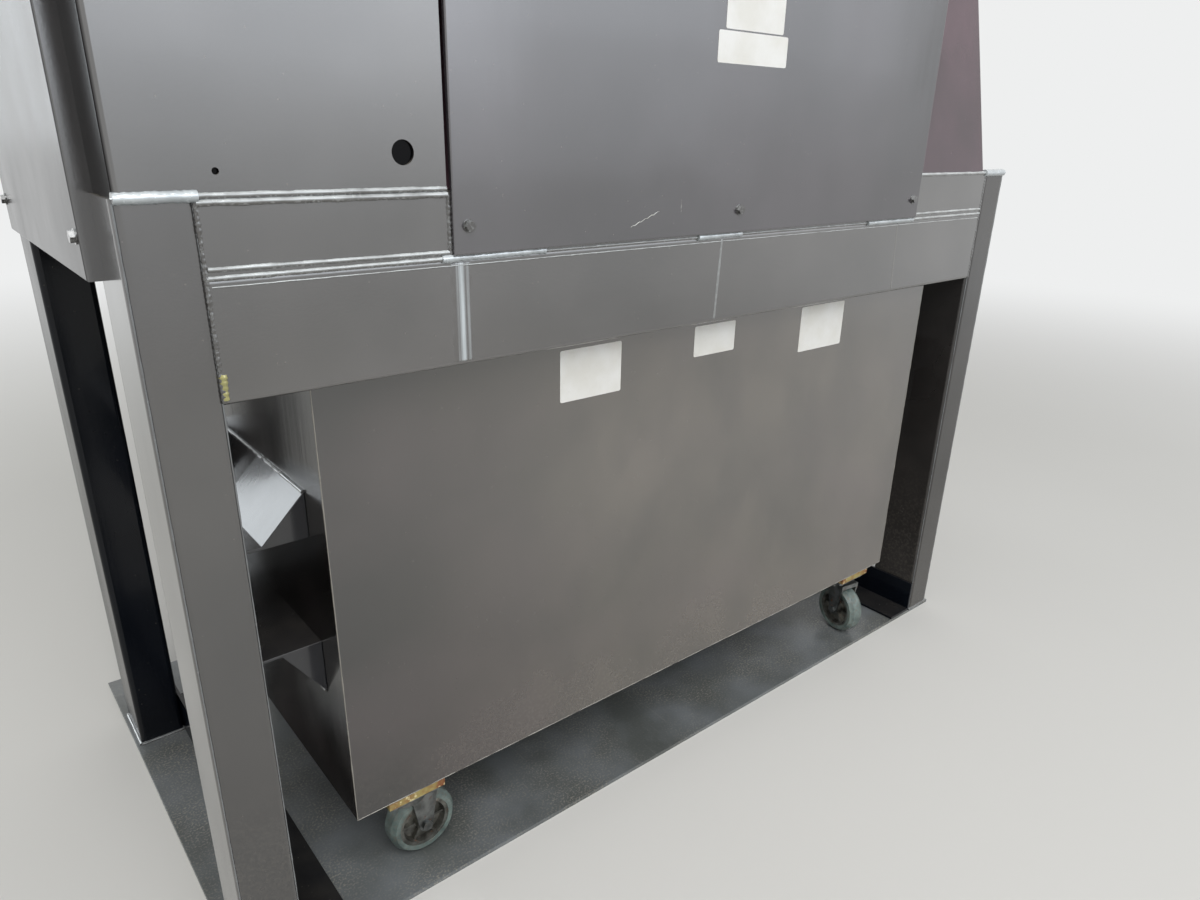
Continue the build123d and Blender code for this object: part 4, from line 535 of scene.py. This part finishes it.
def bead_tree():
    """A weld bead along each path: it wanders, its width drifts, and it has ripples."""
    made = new_tree("weld_bead", {
        "Path": "Geometry", "Radius": "Float", "Step": "Float", "Ripple": "Float",
        "Ripple Depth": "Float", "Swell": "Float", "Wander": "Float", "Seed": "Float",
        "Finish": "Material",
    })
    tree, _, given = made
    line = add(tree, "GeometryNodeMeshToCurve", {"Mesh": given["Path"]}, 0)
    spacing = {"Curve": line, "Length": given["Step"]}
    rings = add(tree, "GeometryNodeResampleCurve", spacing, 0, mode="LENGTH")
    place = add(tree, "GeometryNodeInputPosition", out=0)
    fine = {"Vector": place, "W": given["Seed"], "Scale": SWAYS, "Detail": 3.0}
    sway = add(tree, "ShaderNodeTexNoise", fine, "Color", noise_dimensions="4D")
    half = (0.5, 0.5, 0.5)
    centred = add(tree, "ShaderNodeVectorMath", {0: sway, 1: half}, 0, operation="SUBTRACT")
    wandering = {0: centred, "Scale": given["Wander"]}
    shift = add(tree, "ShaderNodeVectorMath", wandering, 0, operation="SCALE")
    moved = add(tree, "GeometryNodeSetPosition", {"Geometry": rings, "Offset": shift}, 0)
    run = add(tree, "GeometryNodeSplineParameter", out="Length")
    turns = add(tree, "ShaderNodeMath", {0: run, 1: given["Ripple"]}, 0, operation="DIVIDE")
    angle = add(tree, "ShaderNodeMath", {0: turns, 1: 2 * math.pi}, 0, operation="MULTIPLY")
    wave = add(tree, "ShaderNodeMath", {0: angle}, 0, operation="SINE")
    rippling = {0: wave, 1: given["Ripple Depth"], 2: 1.0}
    ripple = add(tree, "ShaderNodeMath", rippling, 0, operation="MULTIPLY_ADD")
    coarse = {"Vector": place, "W": given["Seed"], "Scale": SWELLS, "Detail": 4.0}
    cloud = add(tree, "ShaderNodeTexNoise", coarse, 0, noise_dimensions="4D")
    low = add(tree, "ShaderNodeMath", {0: 1.0, 1: given["Swell"]}, 0, operation="SUBTRACT")
    high = add(tree, "ShaderNodeMath", {0: 1.0, 1: given["Swell"]}, 0, operation="ADD")
    ends = {"Value": cloud, "From Min": 0.3, "From Max": 0.7, "To Min": low, "To Max": high}
    swell = add(tree, "ShaderNodeMapRange", ends, "Result")
    share = add(tree, "ShaderNodeMath", {0: ripple, 1: swell}, 0, operation="MULTIPLY")
    width = add(tree, "ShaderNodeMath", {0: share, 1: given["Radius"]}, 0, operation="MULTIPLY")
    ring = add(tree, "GeometryNodeCurvePrimitiveCircle", {"Resolution": 8, "Radius": 1.0}, 0)
    sweep = {"Curve": moved, "Profile Curve": ring, "Scale": width, "Fill Caps": True}
    tube = add(tree, "GeometryNodeCurveToMesh", sweep, 0)
    smooth = add(tree, "GeometryNodeSetShadeSmooth", {"Geometry": tube}, 0)
    close_tree(tree, smooth, given["Finish"])
    return made


beads = bead_tree()


def bead_kind(step, ripple, depth, swell, wander):
    """What a kind of bead is like, its step, ripple and wander in millimetres."""
    return {
        "Step": step * MM, "Ripple": ripple * MM, "Ripple Depth": depth, "Swell": swell,
        "Wander": wander * MM,
    }


SMOOTH = bead_kind(5, 12, 0.04, 0.16, 1.6)
ROPED = bead_kind(2.5, 8, 0.13, 0.22, 2.4)
PLAIN = bead_kind(9, 30, 0.06, 0.20, 2.0)
# The kind of line used for the painted edge highlights
HIGHLIGHT_LINE = bead_kind(6, 40, 0.05, 0.35, 0.5)


def weld(name, body, runs, radius, kind, finish, seed=1.0):
    """Weld beads along runs, each a list of points in millimetres."""
    points, edges = [], []
    for run in runs:
        first = len(points)
        points += [tuple(value * MM for value in point) for point in run]
        edges += [(first + i, first + i + 1) for i in range(len(run) - 1)]
    values = {**kind, "Radius": radius * MM, "Seed": seed, "Finish": finish}
    bake(beads, values, points, edges, name, body)


def millimetres(node):
    """The low and high corners of a node's box in millimetres."""
    low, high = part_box(node)
    return [value / MM for value in low], [value / MM for value in high]


def ring_run(x, y, z):
    """A closed level run around the rectangle x by y at height z."""
    return [(x[0], y[0], z), (x[1], y[0], z), (x[1], y[1], z), (x[0], y[1], z), (x[0], y[0], z)]


# Welds on the rear face, in view

channel_low, channel_high = millimetres("rear_channel")
leg_low, leg_high = millimetres("leg_rear_left")
panel_low, panel_high = millimetres("enclosure_panel")
right_low = millimetres("band_right")[0]
face_y = channel_low[1]
# A bead's middle lies 2.5 mm under the face, and that of one that hardly shows 0.6 mm
rear_y, shy_y = face_y + 2.5, face_y + 0.6
seam_z = channel_high[2] - 1
# Light lines 12 mm above and below the seam are painted highlights of rounded corners, not beads
HIGHLIGHT_STEP = 12
band_highlight_z, low_highlight_z = seam_z + HIGHLIGHT_STEP, seam_z - HIGHLIGHT_STEP
edge_x = channel_high[0]
gap_left, gap_right = panel_high[0], right_low[0]
under_left, under_right = gap_left + 24, gap_right - 8
weld("leg_top_bead", "frame", [
    [(leg_low[0] + 4, rear_y, leg_high[2]), (leg_high[0] + 4, rear_y, leg_high[2] + 1)],
    [(edge_x - 4, rear_y, leg_high[2]), (-leg_low[0] - 4, rear_y, leg_high[2])],
], 9.5, SMOOTH, broad_finish, 3.0)
weld("band_top_beads", "frame", [
    [(-edge_x, rear_y, leg_high[2] + 1), (gap_left, rear_y, leg_high[2] + 1)],
    # A painted highlight of the band's rounded corner, under the bead
    [(-edge_x, shy_y, leg_high[2] - 8), (gap_left, shy_y, leg_high[2] - 8)],
    [(gap_right, rear_y, leg_high[2]), (edge_x, rear_y, leg_high[2])],
], 5.2, SMOOTH, crown_finish, 5.0)
weld("channel_top_beads", "frame", [
    [(-edge_x, rear_y, seam_z), (under_left, rear_y, seam_z)],
    [(under_right, rear_y, seam_z), (edge_x, rear_y, seam_z)],
    # These two runs are painted highlights of the band's lower corner
    [(-edge_x + 3, rear_y, band_highlight_z), (gap_left, rear_y, band_highlight_z - 2)],
    [(gap_right, rear_y, band_highlight_z), (edge_x - 3, rear_y, band_highlight_z)],
], 4.8, SMOOTH, crown_finish, 7.0)
# A painted highlight of the channel's rounded top corner, under the cover
weld("channel_corner_highlight", "frame", [
    [(under_left, face_y + 2, seam_z), (under_right, face_y + 2, seam_z)],
], 3.2, {**SMOOTH, "Swell": 0.08, "Wander": 0.8 * MM}, crown_finish, 9.0)
# A painted highlight line below the seam
weld("channel_low_highlight", "frame", [
    [(-edge_x + 5, shy_y, low_highlight_z), (edge_x - 5, shy_y, low_highlight_z + 1)],
], 1.5, SMOOTH, crown_finish, 11.0)
weld("stitch_beads", "frame", [
    [(gap_left - 14, rear_y - 1, seam_z), (gap_left + 192, rear_y - 1, seam_z + 1)],
    [(-86, rear_y - 1, seam_z), (44, rear_y - 1, seam_z + 1)],
    [(503, rear_y - 1, seam_z), (gap_right + 6, rear_y - 1, seam_z)],
], 6.6, {**SMOOTH, "Swell": 0.24, "Ripple Depth": 0.08}, broad_finish, 13.0)
weld("upright_beads", "frame", [
    [(-edge_x, rear_y + 0.5, channel_low[2] + 4), (-edge_x, rear_y + 0.5, leg_high[2])],
    [(edge_x, rear_y + 0.5, channel_low[2] + 4), (edge_x, rear_y + 0.5, leg_high[2])],
    [(gap_left + 2, shy_y + 1, channel_high[2] + 6), (gap_left + 2, shy_y + 1, leg_high[2] - 4)],
], 4.2, ROPED, bead_finish, 15.0)
weld("corner_primer_bead", "frame", [
    [
        (-edge_x + 2, rear_y + 0.5, channel_low[2] + 8),
        (-edge_x + 3, rear_y + 0.5, channel_low[2] + 46),
    ],
], 5.4, ROPED, primer_finish, 31.0)


def ground_seam(name, x, z, width, crown, finish):
    """A butt weld ground nearly flush: a long low crown whose edges waver, in millimetres, which
    leans from the first x to the second."""
    columns, rows = 8, 60
    points, faces = [], []
    for row in range(rows + 1):
        share = row / rows
        waver = 1 + 0.10 * math.sin(9 * share + x[0]) + 0.05 * math.sin(31 * share)
        middle = x[0] + (x[1] - x[0]) * share
        for column in range(columns + 1):
            side = column / columns * 2 - 1
            rise = crown * (1 - side * side)
            level = z[0] + (z[1] - z[0]) * share
            spot = (middle + side * width * waver / 2, face_y + 0.3 - rise, level)
            points.append([value * MM for value in spot])
    count = len(points)
    points += [(px, face_y * MM + 0.6 * MM, pz) for px, _, pz in points]
    wide = columns + 1
    rim = list(range(wide)) + [row * wide + columns for row in range(1, rows + 1)]
    rim += [rows * wide + column for column in range(columns - 1, -1, -1)]
    rim += [row * wide for row in range(rows - 1, 0, -1)]
    for row in range(rows):
        for column in range(columns):
            first = row * wide + column
            ring = (first, first + 1, first + wide + 1, first + wide)
            faces += [ring, tuple(count + i for i in reversed(ring))]
    faces += [(a, a + count, b + count, b) for a, b in zip(rim, rim[1:] + rim[:1])]
    mesh = solid(name, points, faces, finish)
    for face in mesh.polygons:
        face.use_smooth = True
    keep(mesh, name, "frame")


seam_span = (channel_low[2] + 8, channel_high[2] - 8)
ground_seam("channel_seam_left", (LEFT_SEAM_X, LEFT_SEAM_X), seam_span, 44, 1.0, seam_finish)
ground_seam("channel_seam_middle", (-22, -14), seam_span, 8, 0.8, narrow_finish)
ground_seam("channel_seam_right", (647, 634), seam_span, 8, 0.5, faint_finish)
cover_y = millimetres("service_cover")[0][1]


def scratch(name, path, width):
    """A scrape through the cover's paint: a thin sliver of bare steel that starts and ends in a
    point."""
    points, faces = [], []
    last = len(path) - 1
    for i, (x, z) in enumerate(path):
        taper = math.sin(math.pi * (0.08 + 0.84 * i / last))
        half = width * taper * (0.7 + 0.3 * math.sin(7.0 * i))
        for dx, dz, y in ((-half, half, 0.1), (half, -half, 0.1), (0, 0, -0.15)):
            points.append(((x + dx * 0.4) * MM, (cover_y + y) * MM, (z + dz) * MM))
    for i in range(last):
        for a, b in ((0, 2), (2, 1), (1, 0)):
            faces.append((3 * i + a, 3 * i + b, 3 * i + 3 + b, 3 * i + 3 + a))
    faces += [(0, 1, 2), (3 * last, 3 * last + 2, 3 * last + 1)]
    keep(solid(name, points, faces, scratch_steel), name, "frame")


long_scrape = [(-277 + 5.2 * i, 1330 + 1.9 * i + 1.2 * math.sin(2.1 * i)) for i in range(15)]
short_scrape = [(-147 + 0.5 * math.sin(2 * i), 1352 + 3.4 * i) for i in range(8)]
scratch("cover_scratch_long", long_scrape, 1.3)
scratch("cover_scratch_short", short_scrape, 1.1)


# Welds of the sides, the front, the roof and the container

FOOT_SPAN = (-494, 497)  # along Y, where the legs stand on the floor plate
DOOR_SPAN = (-905, 940)  # along X, the part of the front header under the loading door
TOWER_FOOT_X, TOWER_FOOT_TOP = (180, 280), 13
POST_Y, CROSS_Y, CROSS_DROP = (0.5, 94.5), (-2.5, 97.5), 100
POCKET_WALL_X = 897

foot_runs = []
for name in ("leg_rear_left", "leg_rear_right", "leg_front_left", "leg_front_right"):
    low, high = millimetres(name)
    foot_x = (low[0] - 1, high[0] + 1)
    foot_y = (max(low[1], FOOT_SPAN[0]) - 1, min(high[1], FOOT_SPAN[1]) + 1)
    foot_runs.append(ring_run(foot_x, foot_y, low[2] + 1))
weld("foot_beads", "frame", foot_runs, 4.5, PLAIN, bead_finish, 17.0)

rail_low, rail_high = millimetres("side_rails")
rail_runs = []
for side_x in (rail_low[0] + 1.5, rail_high[0] - 1.5):
    for end_y in (rail_low[1], rail_high[1]):
        rail_runs.append([(side_x, end_y, rail_low[2] + 4), (side_x, end_y, rail_high[2] - 4)])
header_low, header_high = millimetres("front_header")
front_y = header_high[1] - 1.5
for end_x in (header_low[0], header_high[0]):
    heights = (header_low[2] + 4, header_high[2] - 4)
    rail_runs.append([(end_x, front_y, height) for height in heights])
for ends in ((-edge_x + 4, DOOR_SPAN[0]), (DOOR_SPAN[1], edge_x - 4)):
    rail_runs.append([(end_x, front_y, header_high[2]) for end_x in ends])
weld("rail_beads", "frame", rail_runs, 4.5, PLAIN, bead_finish, 19.0)

tower_low, tower_high = millimetres("cylinder_tower")
roof_z = millimetres("roof_plate")[1][2]
tower_runs = []
for side in (-1, 1):
    foot_x = sorted(side * x for x in TOWER_FOOT_X)
    cross_x = side * TOWER_FOOT_X[0]
    tower_runs.append(ring_run(foot_x, (tower_low[1], tower_high[1]), roof_z + 1))
    tower_runs.append(ring_run((foot_x[0] + 3, foot_x[1] - 3), POST_Y, roof_z + TOWER_FOOT_TOP))
    tower_runs.append(ring_run((cross_x - 1.5, cross_x + 1.5), CROSS_Y, tower_high[2] - CROSS_DROP))
weld("tower_beads", "frame", tower_runs, 4.0, PLAIN, bead_finish, 21.0)

pocket_runs = []
for side in (-1, 1):
    low, high = millimetres("pocket_left" if side < 0 else "pocket_right")
    wall_x = side * POCKET_WALL_X
    y, z = (low[1] + 2, high[1] - 2), (low[2] + 2, high[2] - 2)
    pocket_runs += [[(wall_x, y[0], level), (wall_x, y[1], level)] for level in z]
weld("pocket_beads", "container", pocket_runs, 4.2, PLAIN, bead_finish, 23.0)


# Light lines along edges: painted highlights

shell_low, shell_high = millimetres("container_body")
near_x, near_y, near_z = shell_low[0] + 0.9, shell_low[1] + 0.9, shell_low[2] + 0.9
weld("container_edge_highlight", "container", [
    [(near_x, near_y, near_z), (near_x, near_y, shell_high[2] - 2)],
    [(near_x, near_y, near_z), (-near_x, near_y, near_z)],
    [(-near_x, near_y, near_z), (-near_x, near_y, shell_high[2] - 2)],
], 1.4, HIGHLIGHT_LINE, edge_highlight_finish, 27.0)
corner_runs = []
corner_y = leg_low[1] + 3
for corner_x in (leg_low[0] + 3, leg_high[0] - 3, -leg_high[0] + 3, -leg_low[0] - 3):
    heights = (leg_low[2] + 2, leg_high[2] - 6)
    corner_runs.append([(corner_x, corner_y, height) for height in heights])
weld("leg_edge_highlight", "frame", corner_runs, 1.3, HIGHLIGHT_LINE, leg_highlight_finish, 29.0)


# Screws, the fan guard and the discs behind the panel's holes

SIXTH_TURN = 1.05  # in radians, after which a hexagon looks the same again


def screw_tree():
    """A hexagon head on a washer at each point, turned to its way and spun by chance."""
    made = new_tree("hex_screws", {
        "Spots": "Geometry", "Head Radius": "Float", "Head Height": "Float",
        "Washer Radius": "Float", "Washer Height": "Float", "Seed": "Int", "Finish": "Material",
    })
    tree, _, given = made
    spots = add(tree, "GeometryNodeMeshToPoints", {"Mesh": given["Spots"]}, 0)
    head_height, washer_height = given["Head Height"], given["Washer Height"]
    head_size = {"Vertices": 6, "Radius": given["Head Radius"], "Depth": head_height}
    head = add(tree, "GeometryNodeMeshCylinder", head_size, 0)
    washer_size = {"Vertices": 20, "Radius": given["Washer Radius"], "Depth": washer_height}
    washer = add(tree, "GeometryNodeMeshCylinder", washer_size, 0)
    half_head = add(tree, "ShaderNodeMath", {0: head_height, 1: 0.5}, 0, operation="MULTIPLY")
    rise = add(tree, "ShaderNodeMath", {0: half_head, 1: washer_height}, 0, operation="ADD")
    half_washer = add(tree, "ShaderNodeMath", {0: washer_height, 1: 0.5}, 0, operation="MULTIPLY")
    head_shift = add(tree, "ShaderNodeCombineXYZ", {"Z": rise}, 0)
    washer_shift = add(tree, "ShaderNodeCombineXYZ", {"Z": half_washer}, 0)
    parts = add(tree, "GeometryNodeJoinGeometry")
    for shape, shift in ((head, head_shift), (washer, washer_shift)):
        lifted = add(tree, "GeometryNodeTransform", {"Geometry": shape, "Translation": shift}, 0)
        tree.links.new(lifted, parts.inputs[0])
    named = {"Name": "way"}
    way = add(tree, "GeometryNodeInputNamedAttribute", named, 0, data_type="FLOAT_VECTOR")
    turn = add(tree, "FunctionNodeAlignRotationToVector", {"Vector": way}, 0, axis="Z")
    chance = {2: 0.0, 3: SIXTH_TURN, "Seed": given["Seed"]}
    spin_angle = add(tree, "FunctionNodeRandomValue", chance, 1, data_type="FLOAT")
    spin = add(tree, "ShaderNodeCombineXYZ", {"Z": spin_angle}, 0)
    own = add(tree, "FunctionNodeEulerToRotation", {0: spin}, 0)
    turns = {0: turn, 1: own}
    both = add(tree, "FunctionNodeRotateRotation", turns, 0, rotation_space="LOCAL")
    placing = {"Points": spots, "Instance": parts.outputs[0], "Rotation": both}
    placed = add(tree, "GeometryNodeInstanceOnPoints", placing, 0)
    close_tree(tree, placed, given["Finish"])
    return made


screws = screw_tree()


def screw_set(name, spots, flats, seed):
    """Zinc-plated screws on the frame at (x, y, z, way) in millimetres, flats being the size across
    the head's flats."""
    points = [(*[value * MM for value in spot[:3]], *spot[3]) for spot in spots]
    values = {
        "Head Radius": flats / math.sqrt(3) * MM, "Head Height": flats * 0.4 * MM,
        "Washer Radius": flats * 0.85 * MM, "Washer Height": 1.6 * MM,
        "Seed": seed, "Finish": zinc,
    }
    bake(screws, values, points, [], name, "frame")


UP = (0, 0, 1)
MOTOR_AXIS, MOTOR_BOLT_RADIUS, MOTOR_FLANGE_Z = (-620, 50), 89, 2960
VALVE_TOP_Z, TOWER_FOOT_Z = 3031, 2638
motor_turns = [math.radians(45 + 90 * i) for i in range(4)]
motor_spots = [
    (
        MOTOR_AXIS[0] + MOTOR_BOLT_RADIUS * math.cos(turn),
        MOTOR_AXIS[1] + MOTOR_BOLT_RADIUS * math.sin(turn), MOTOR_FLANGE_Z, UP,
    )
    for turn in motor_turns
]
valve_spots = [(x, y, VALVE_TOP_Z, UP) for x in (-432, -368) for y in (-138, -7)]
tower_spots = [(side * 230, y, TOWER_FOOT_Z, UP) for side in (-1, 1) for y in (-80, 175)]
screw_set("motor_screws", motor_spots, 10, seed=3)
screw_set("valve_screws", valve_spots, 8, seed=5)
screw_set("tower_screws", tower_spots, 19, seed=7)


def cowl_guard(name, centre, top, radius):
    """A welded wire guard over the motor's fan: rings on four spokes."""
    x, y = centre
    around = [math.radians(15 * i) for i in range(25)]
    runs = []
    for share in (0.30, 0.52, 0.74, 0.96):
        ring = radius * share
        runs.append([(x + ring * math.cos(a), y + ring * math.sin(a), top) for a in around])
    for i in range(4):
        a = math.radians(45 * i)
        reach = (radius * math.cos(a), radius * math.sin(a))
        runs.append([(x + side * reach[0], y + side * reach[1], top + 3) for side in (-1, 1)])
    wire = {"Step": 9 * MM, "Ripple": 1.0, "Ripple Depth": 0.0, "Swell": 0.0, "Wander": 0.0}
    weld(name, "frame", runs, 1.8, wire, zinc, 25.0)


cowl_guard("motor_guard", MOTOR_AXIS, millimetres("pump_motor")[1][2] + 1, 78)


def hole_disc(name, x, z, radius):
    """A dull black disc behind a hole of the enclosure panel, as painted shade for the dark inside."""
    count, thick = 32, 1.5
    disc_y = panel_low[1] + 5.2
    turns = [2 * math.pi * i / count for i in range(count)]
    ring = [(x + radius * math.cos(turn), z + radius * math.sin(turn)) for turn in turns]
    points = [(px * MM, (disc_y + shift) * MM, pz * MM) for shift in (0, thick) for px, pz in ring]
    faces = [tuple(range(count)), tuple(range(2 * count - 1, count - 1, -1))]
    faces += [(i, i + count, (i + 1) % count + count, (i + 1) % count) for i in range(count)]
    keep(solid(name, points, faces, shade_enamel), name, "frame")


hole_disc("wire_hole_disc", -1008, 1439, 12)
hole_disc("hose_hole_disc", -733, 1462, 28)


# Edges of plate, which the paint rounds

eased = {
    "container_body": 1.6, "pocket_left": 1.2, "pocket_right": 1.2, "guide_left": 1.0,
    "guide_right": 1.0, "floor_plate": 1.0, "roof_plate": 1.2,
}
for name, width in eased.items():
    join = nodes[name].modifiers.new("join", "WELD")
    join.merge_threshold = 0.01 * MM
    edge = nodes[name].modifiers.new("edge", "BEVEL")
    edge.width = width * MM
    edge.segments = 2
    edge.limit_method = "ANGLE"
    edge.angle_limit = math.radians(40)
    edge.use_clamp_overlap = False
    edge.harden_normals = True


# Blank plates where labels go


def label_plate(name, body, x, z, plate_y):
    """A thin sheet of vinyl with rounded corners, stuck on a rear face."""
    corner, thickness, steps = 4.0, 0.4, 5
    ring = []
    for quarter in range(4):
        for step in range(steps):
            angle = math.radians(90 * (quarter + step / (steps - 1)))
            centre_x = x[1] - corner if quarter in (0, 3) else x[0] + corner
            centre_z = z[1] - corner if quarter in (0, 1) else z[0] + corner
            ring.append((centre_x + corner * math.cos(angle), centre_z + corner * math.sin(angle)))
    count = len(ring)
    points = [
        (px * MM, y * MM, pz * MM) for y in (plate_y + 0.1, plate_y - thickness) for px, pz in ring
    ]
    faces = [tuple(range(count - 1, -1, -1)), tuple(range(count, 2 * count))]
    faces += [(i, (i + 1) % count, (i + 1) % count + count, i + count) for i in range(count)]
    keep(solid(name, points, faces, vinyl), name, body)


container_y = shell_low[1]
label_plate("container_label_left", "container", (-397, -239), (991, 1097), container_y)
label_plate("container_label_middle", "container", (-25, 107), (1030, 1099), container_y)
label_plate("container_label_right", "container", (349, 523), (988, 1101), container_y)
label_plate("cover_label_top", "frame", (-54, 113), (1681, 1800), cover_y)
label_plate("cover_label_bottom", "frame", (-72, 129), (1622, 1678), cover_y)


# Camera, floor and light

# The photograph's own view, worked out from its straight edges
camera = bpy.data.objects.new("camera", bpy.data.cameras.new("camera"))
bpy.context.scene.collection.objects.link(camera)
bpy.context.scene.camera = camera
camera.data.sensor_width = 36.0
camera.data.lens = 25.42
camera.data.shift_x = 0.0022
camera.data.shift_y = 0.0147
heading = Matrix.Rotation(math.radians(-39.646), 4, "Z")
tilt = Matrix.Rotation(math.radians(90 - 21.77), 4, "X")
roll = Matrix.Rotation(math.radians(1.153), 4, "Z")
camera.matrix_world = Matrix.Translation((-1.3685, -1.739, 1.500)) @ heading @ tilt @ roll

BACKGROUND = "#eeefef"


def seen_rays(tree):
    """1 for rays that show the background: straight, mirrored or through glass."""
    ray = add(tree, "ShaderNodeLightPath").outputs
    pair = {0: ray["Is Glossy Ray"], 1: ray["Is Transmission Ray"]}
    mirrored = add(tree, "ShaderNodeMath", pair, 0, operation="MAXIMUM")
    straight = {0: ray["Is Camera Ray"], 1: mirrored}
    return add(tree, "ShaderNodeMath", straight, 0, operation="MAXIMUM")


def pale_floor():
    """A plain pale studio floor that runs out into the pale background."""
    material, tree, place = new_finish("studio_floor")
    drift = patches(tree, place, 3000, 0.3, 0.7)
    tone = add(
        tree, "ShaderNodeMix", {SHARE: drift, UNDER: paint("#d3d1cc"), OVER: paint("#d8d6d1")}, **BLEND
    )
    matt = add(tree, "ShaderNodeBsdfPrincipled", {"Base Color": tone, "Roughness": 0.85}, 0)
    away = add(tree, "ShaderNodeVectorMath", {0: place}, "Value", operation="LENGTH")
    distance = {"Value": away, "From Min": 2.5, "From Max": 9.0}
    far = add(tree, "ShaderNodeMapRange", distance, "Result", interpolation_type="SMOOTHSTEP")
    share = add(tree, "ShaderNodeMath", {0: far, 1: seen_rays(tree)}, 0, operation="MULTIPLY")
    glow = add(tree, "ShaderNodeEmission", {"Color": paint(BACKGROUND), "Strength": 1.0}, 0)
    mixed = add(tree, "ShaderNodeMixShader", {0: share, 1: matt, 2: glow}, 0)
    add(tree, "ShaderNodeOutputMaterial", {"Surface": mixed})
    reach = 60.0
    corners = [(-reach, -reach, 0), (reach, -reach, 0), (reach, reach, 0), (-reach, reach, 0)]
    mesh = solid("studio_floor", corners, [(0, 1, 2, 3)], material)
    floor = bpy.data.objects.new("studio_floor", mesh)
    bpy.context.scene.collection.objects.link(floor)


def soft_lamp(name, place, aim, size, power, tint=(1, 1, 1)):
    """A large lamp, width by height, turned to the object."""
    lamp = bpy.data.lights.new(name, "AREA")
    lamp.shape = "RECTANGLE"
    lamp.size, lamp.size_y = size
    lamp.energy = power
    lamp.color = tint
    holder = bpy.data.objects.new(name, lamp)
    holder.location = place
    holder.rotation_mode = "QUATERNION"
    holder.rotation_quaternion = (Vector(aim) - Vector(place)).to_track_quat("-Z", "Y")
    bpy.context.scene.collection.objects.link(holder)


def pale_world():
    """Even light from all round, and a pale background for the camera."""
    world = bpy.data.worlds.new("studio")
    world.use_nodes = True
    tree = world.node_tree
    tree.nodes.clear()
    span = {"Value": seen_rays(tree), "To Min": 0.5, "To Max": 1.0}
    strength = add(tree, "ShaderNodeMapRange", span, "Result")
    light = add(tree, "ShaderNodeBackground", {"Color": paint(BACKGROUND), "Strength": strength}, 0)
    add(tree, "ShaderNodeOutputWorld", {"Surface": light})
    bpy.context.scene.world = world


pale_floor()
soft_lamp("overhead_lamp", (-2.5, -5.0, 7.0), (0, 0, 1.2), (5.0, 5.0), 420)
# Lamps that the upper panels mirror, brighter to the top and dimmer to the right: height of the
# middle, height of the lamp, and how bright the left, the middle and the right one are
sky_rows = (
    (1.27, 0.22, 0.36, 0.30, 0.12), (1.49, 0.22, 0.60, 0.42, 0.22), (1.71, 0.22, 0.88, 0.52, 0.32),
    (1.95, 0.26, 1.30, 0.70, 0.48), (2.30, 0.44, 1.62, 1.14, 0.74), (2.74, 0.44, 1.78, 1.35, 0.88),
    (3.96, 2.00, 1.95, 1.52, 1.00),
)
# The middle of each column of lamps along X, and its width
sky_columns = ((0.60, 3.0), (3.10, 2.0), (5.55, 2.9))
SKY_Y, PANEL_Y, SKY_TINT = -4.4, -0.5, (0.85, 0.91, 1.0)
for row, (height, tall, *glows) in enumerate(sky_rows):
    for column, ((middle, wide), glow) in enumerate(zip(sky_columns, glows)):
        place, aim = (middle, SKY_Y, height), (middle, PANEL_Y, height)
        power = glow * math.pi * wide * tall
        soft_lamp(f"sky_{row}_{column}", place, aim, (wide, tall), power, SKY_TINT)
soft_lamp("back_lamp", (-4.4, 7.2, 3.0), (-0.9, 0, 0.9), (3.5, 3.5), 120, (0.88, 0.95, 1.0))
pale_world()
bpy.context.scene.view_settings.view_transform = "Standard"
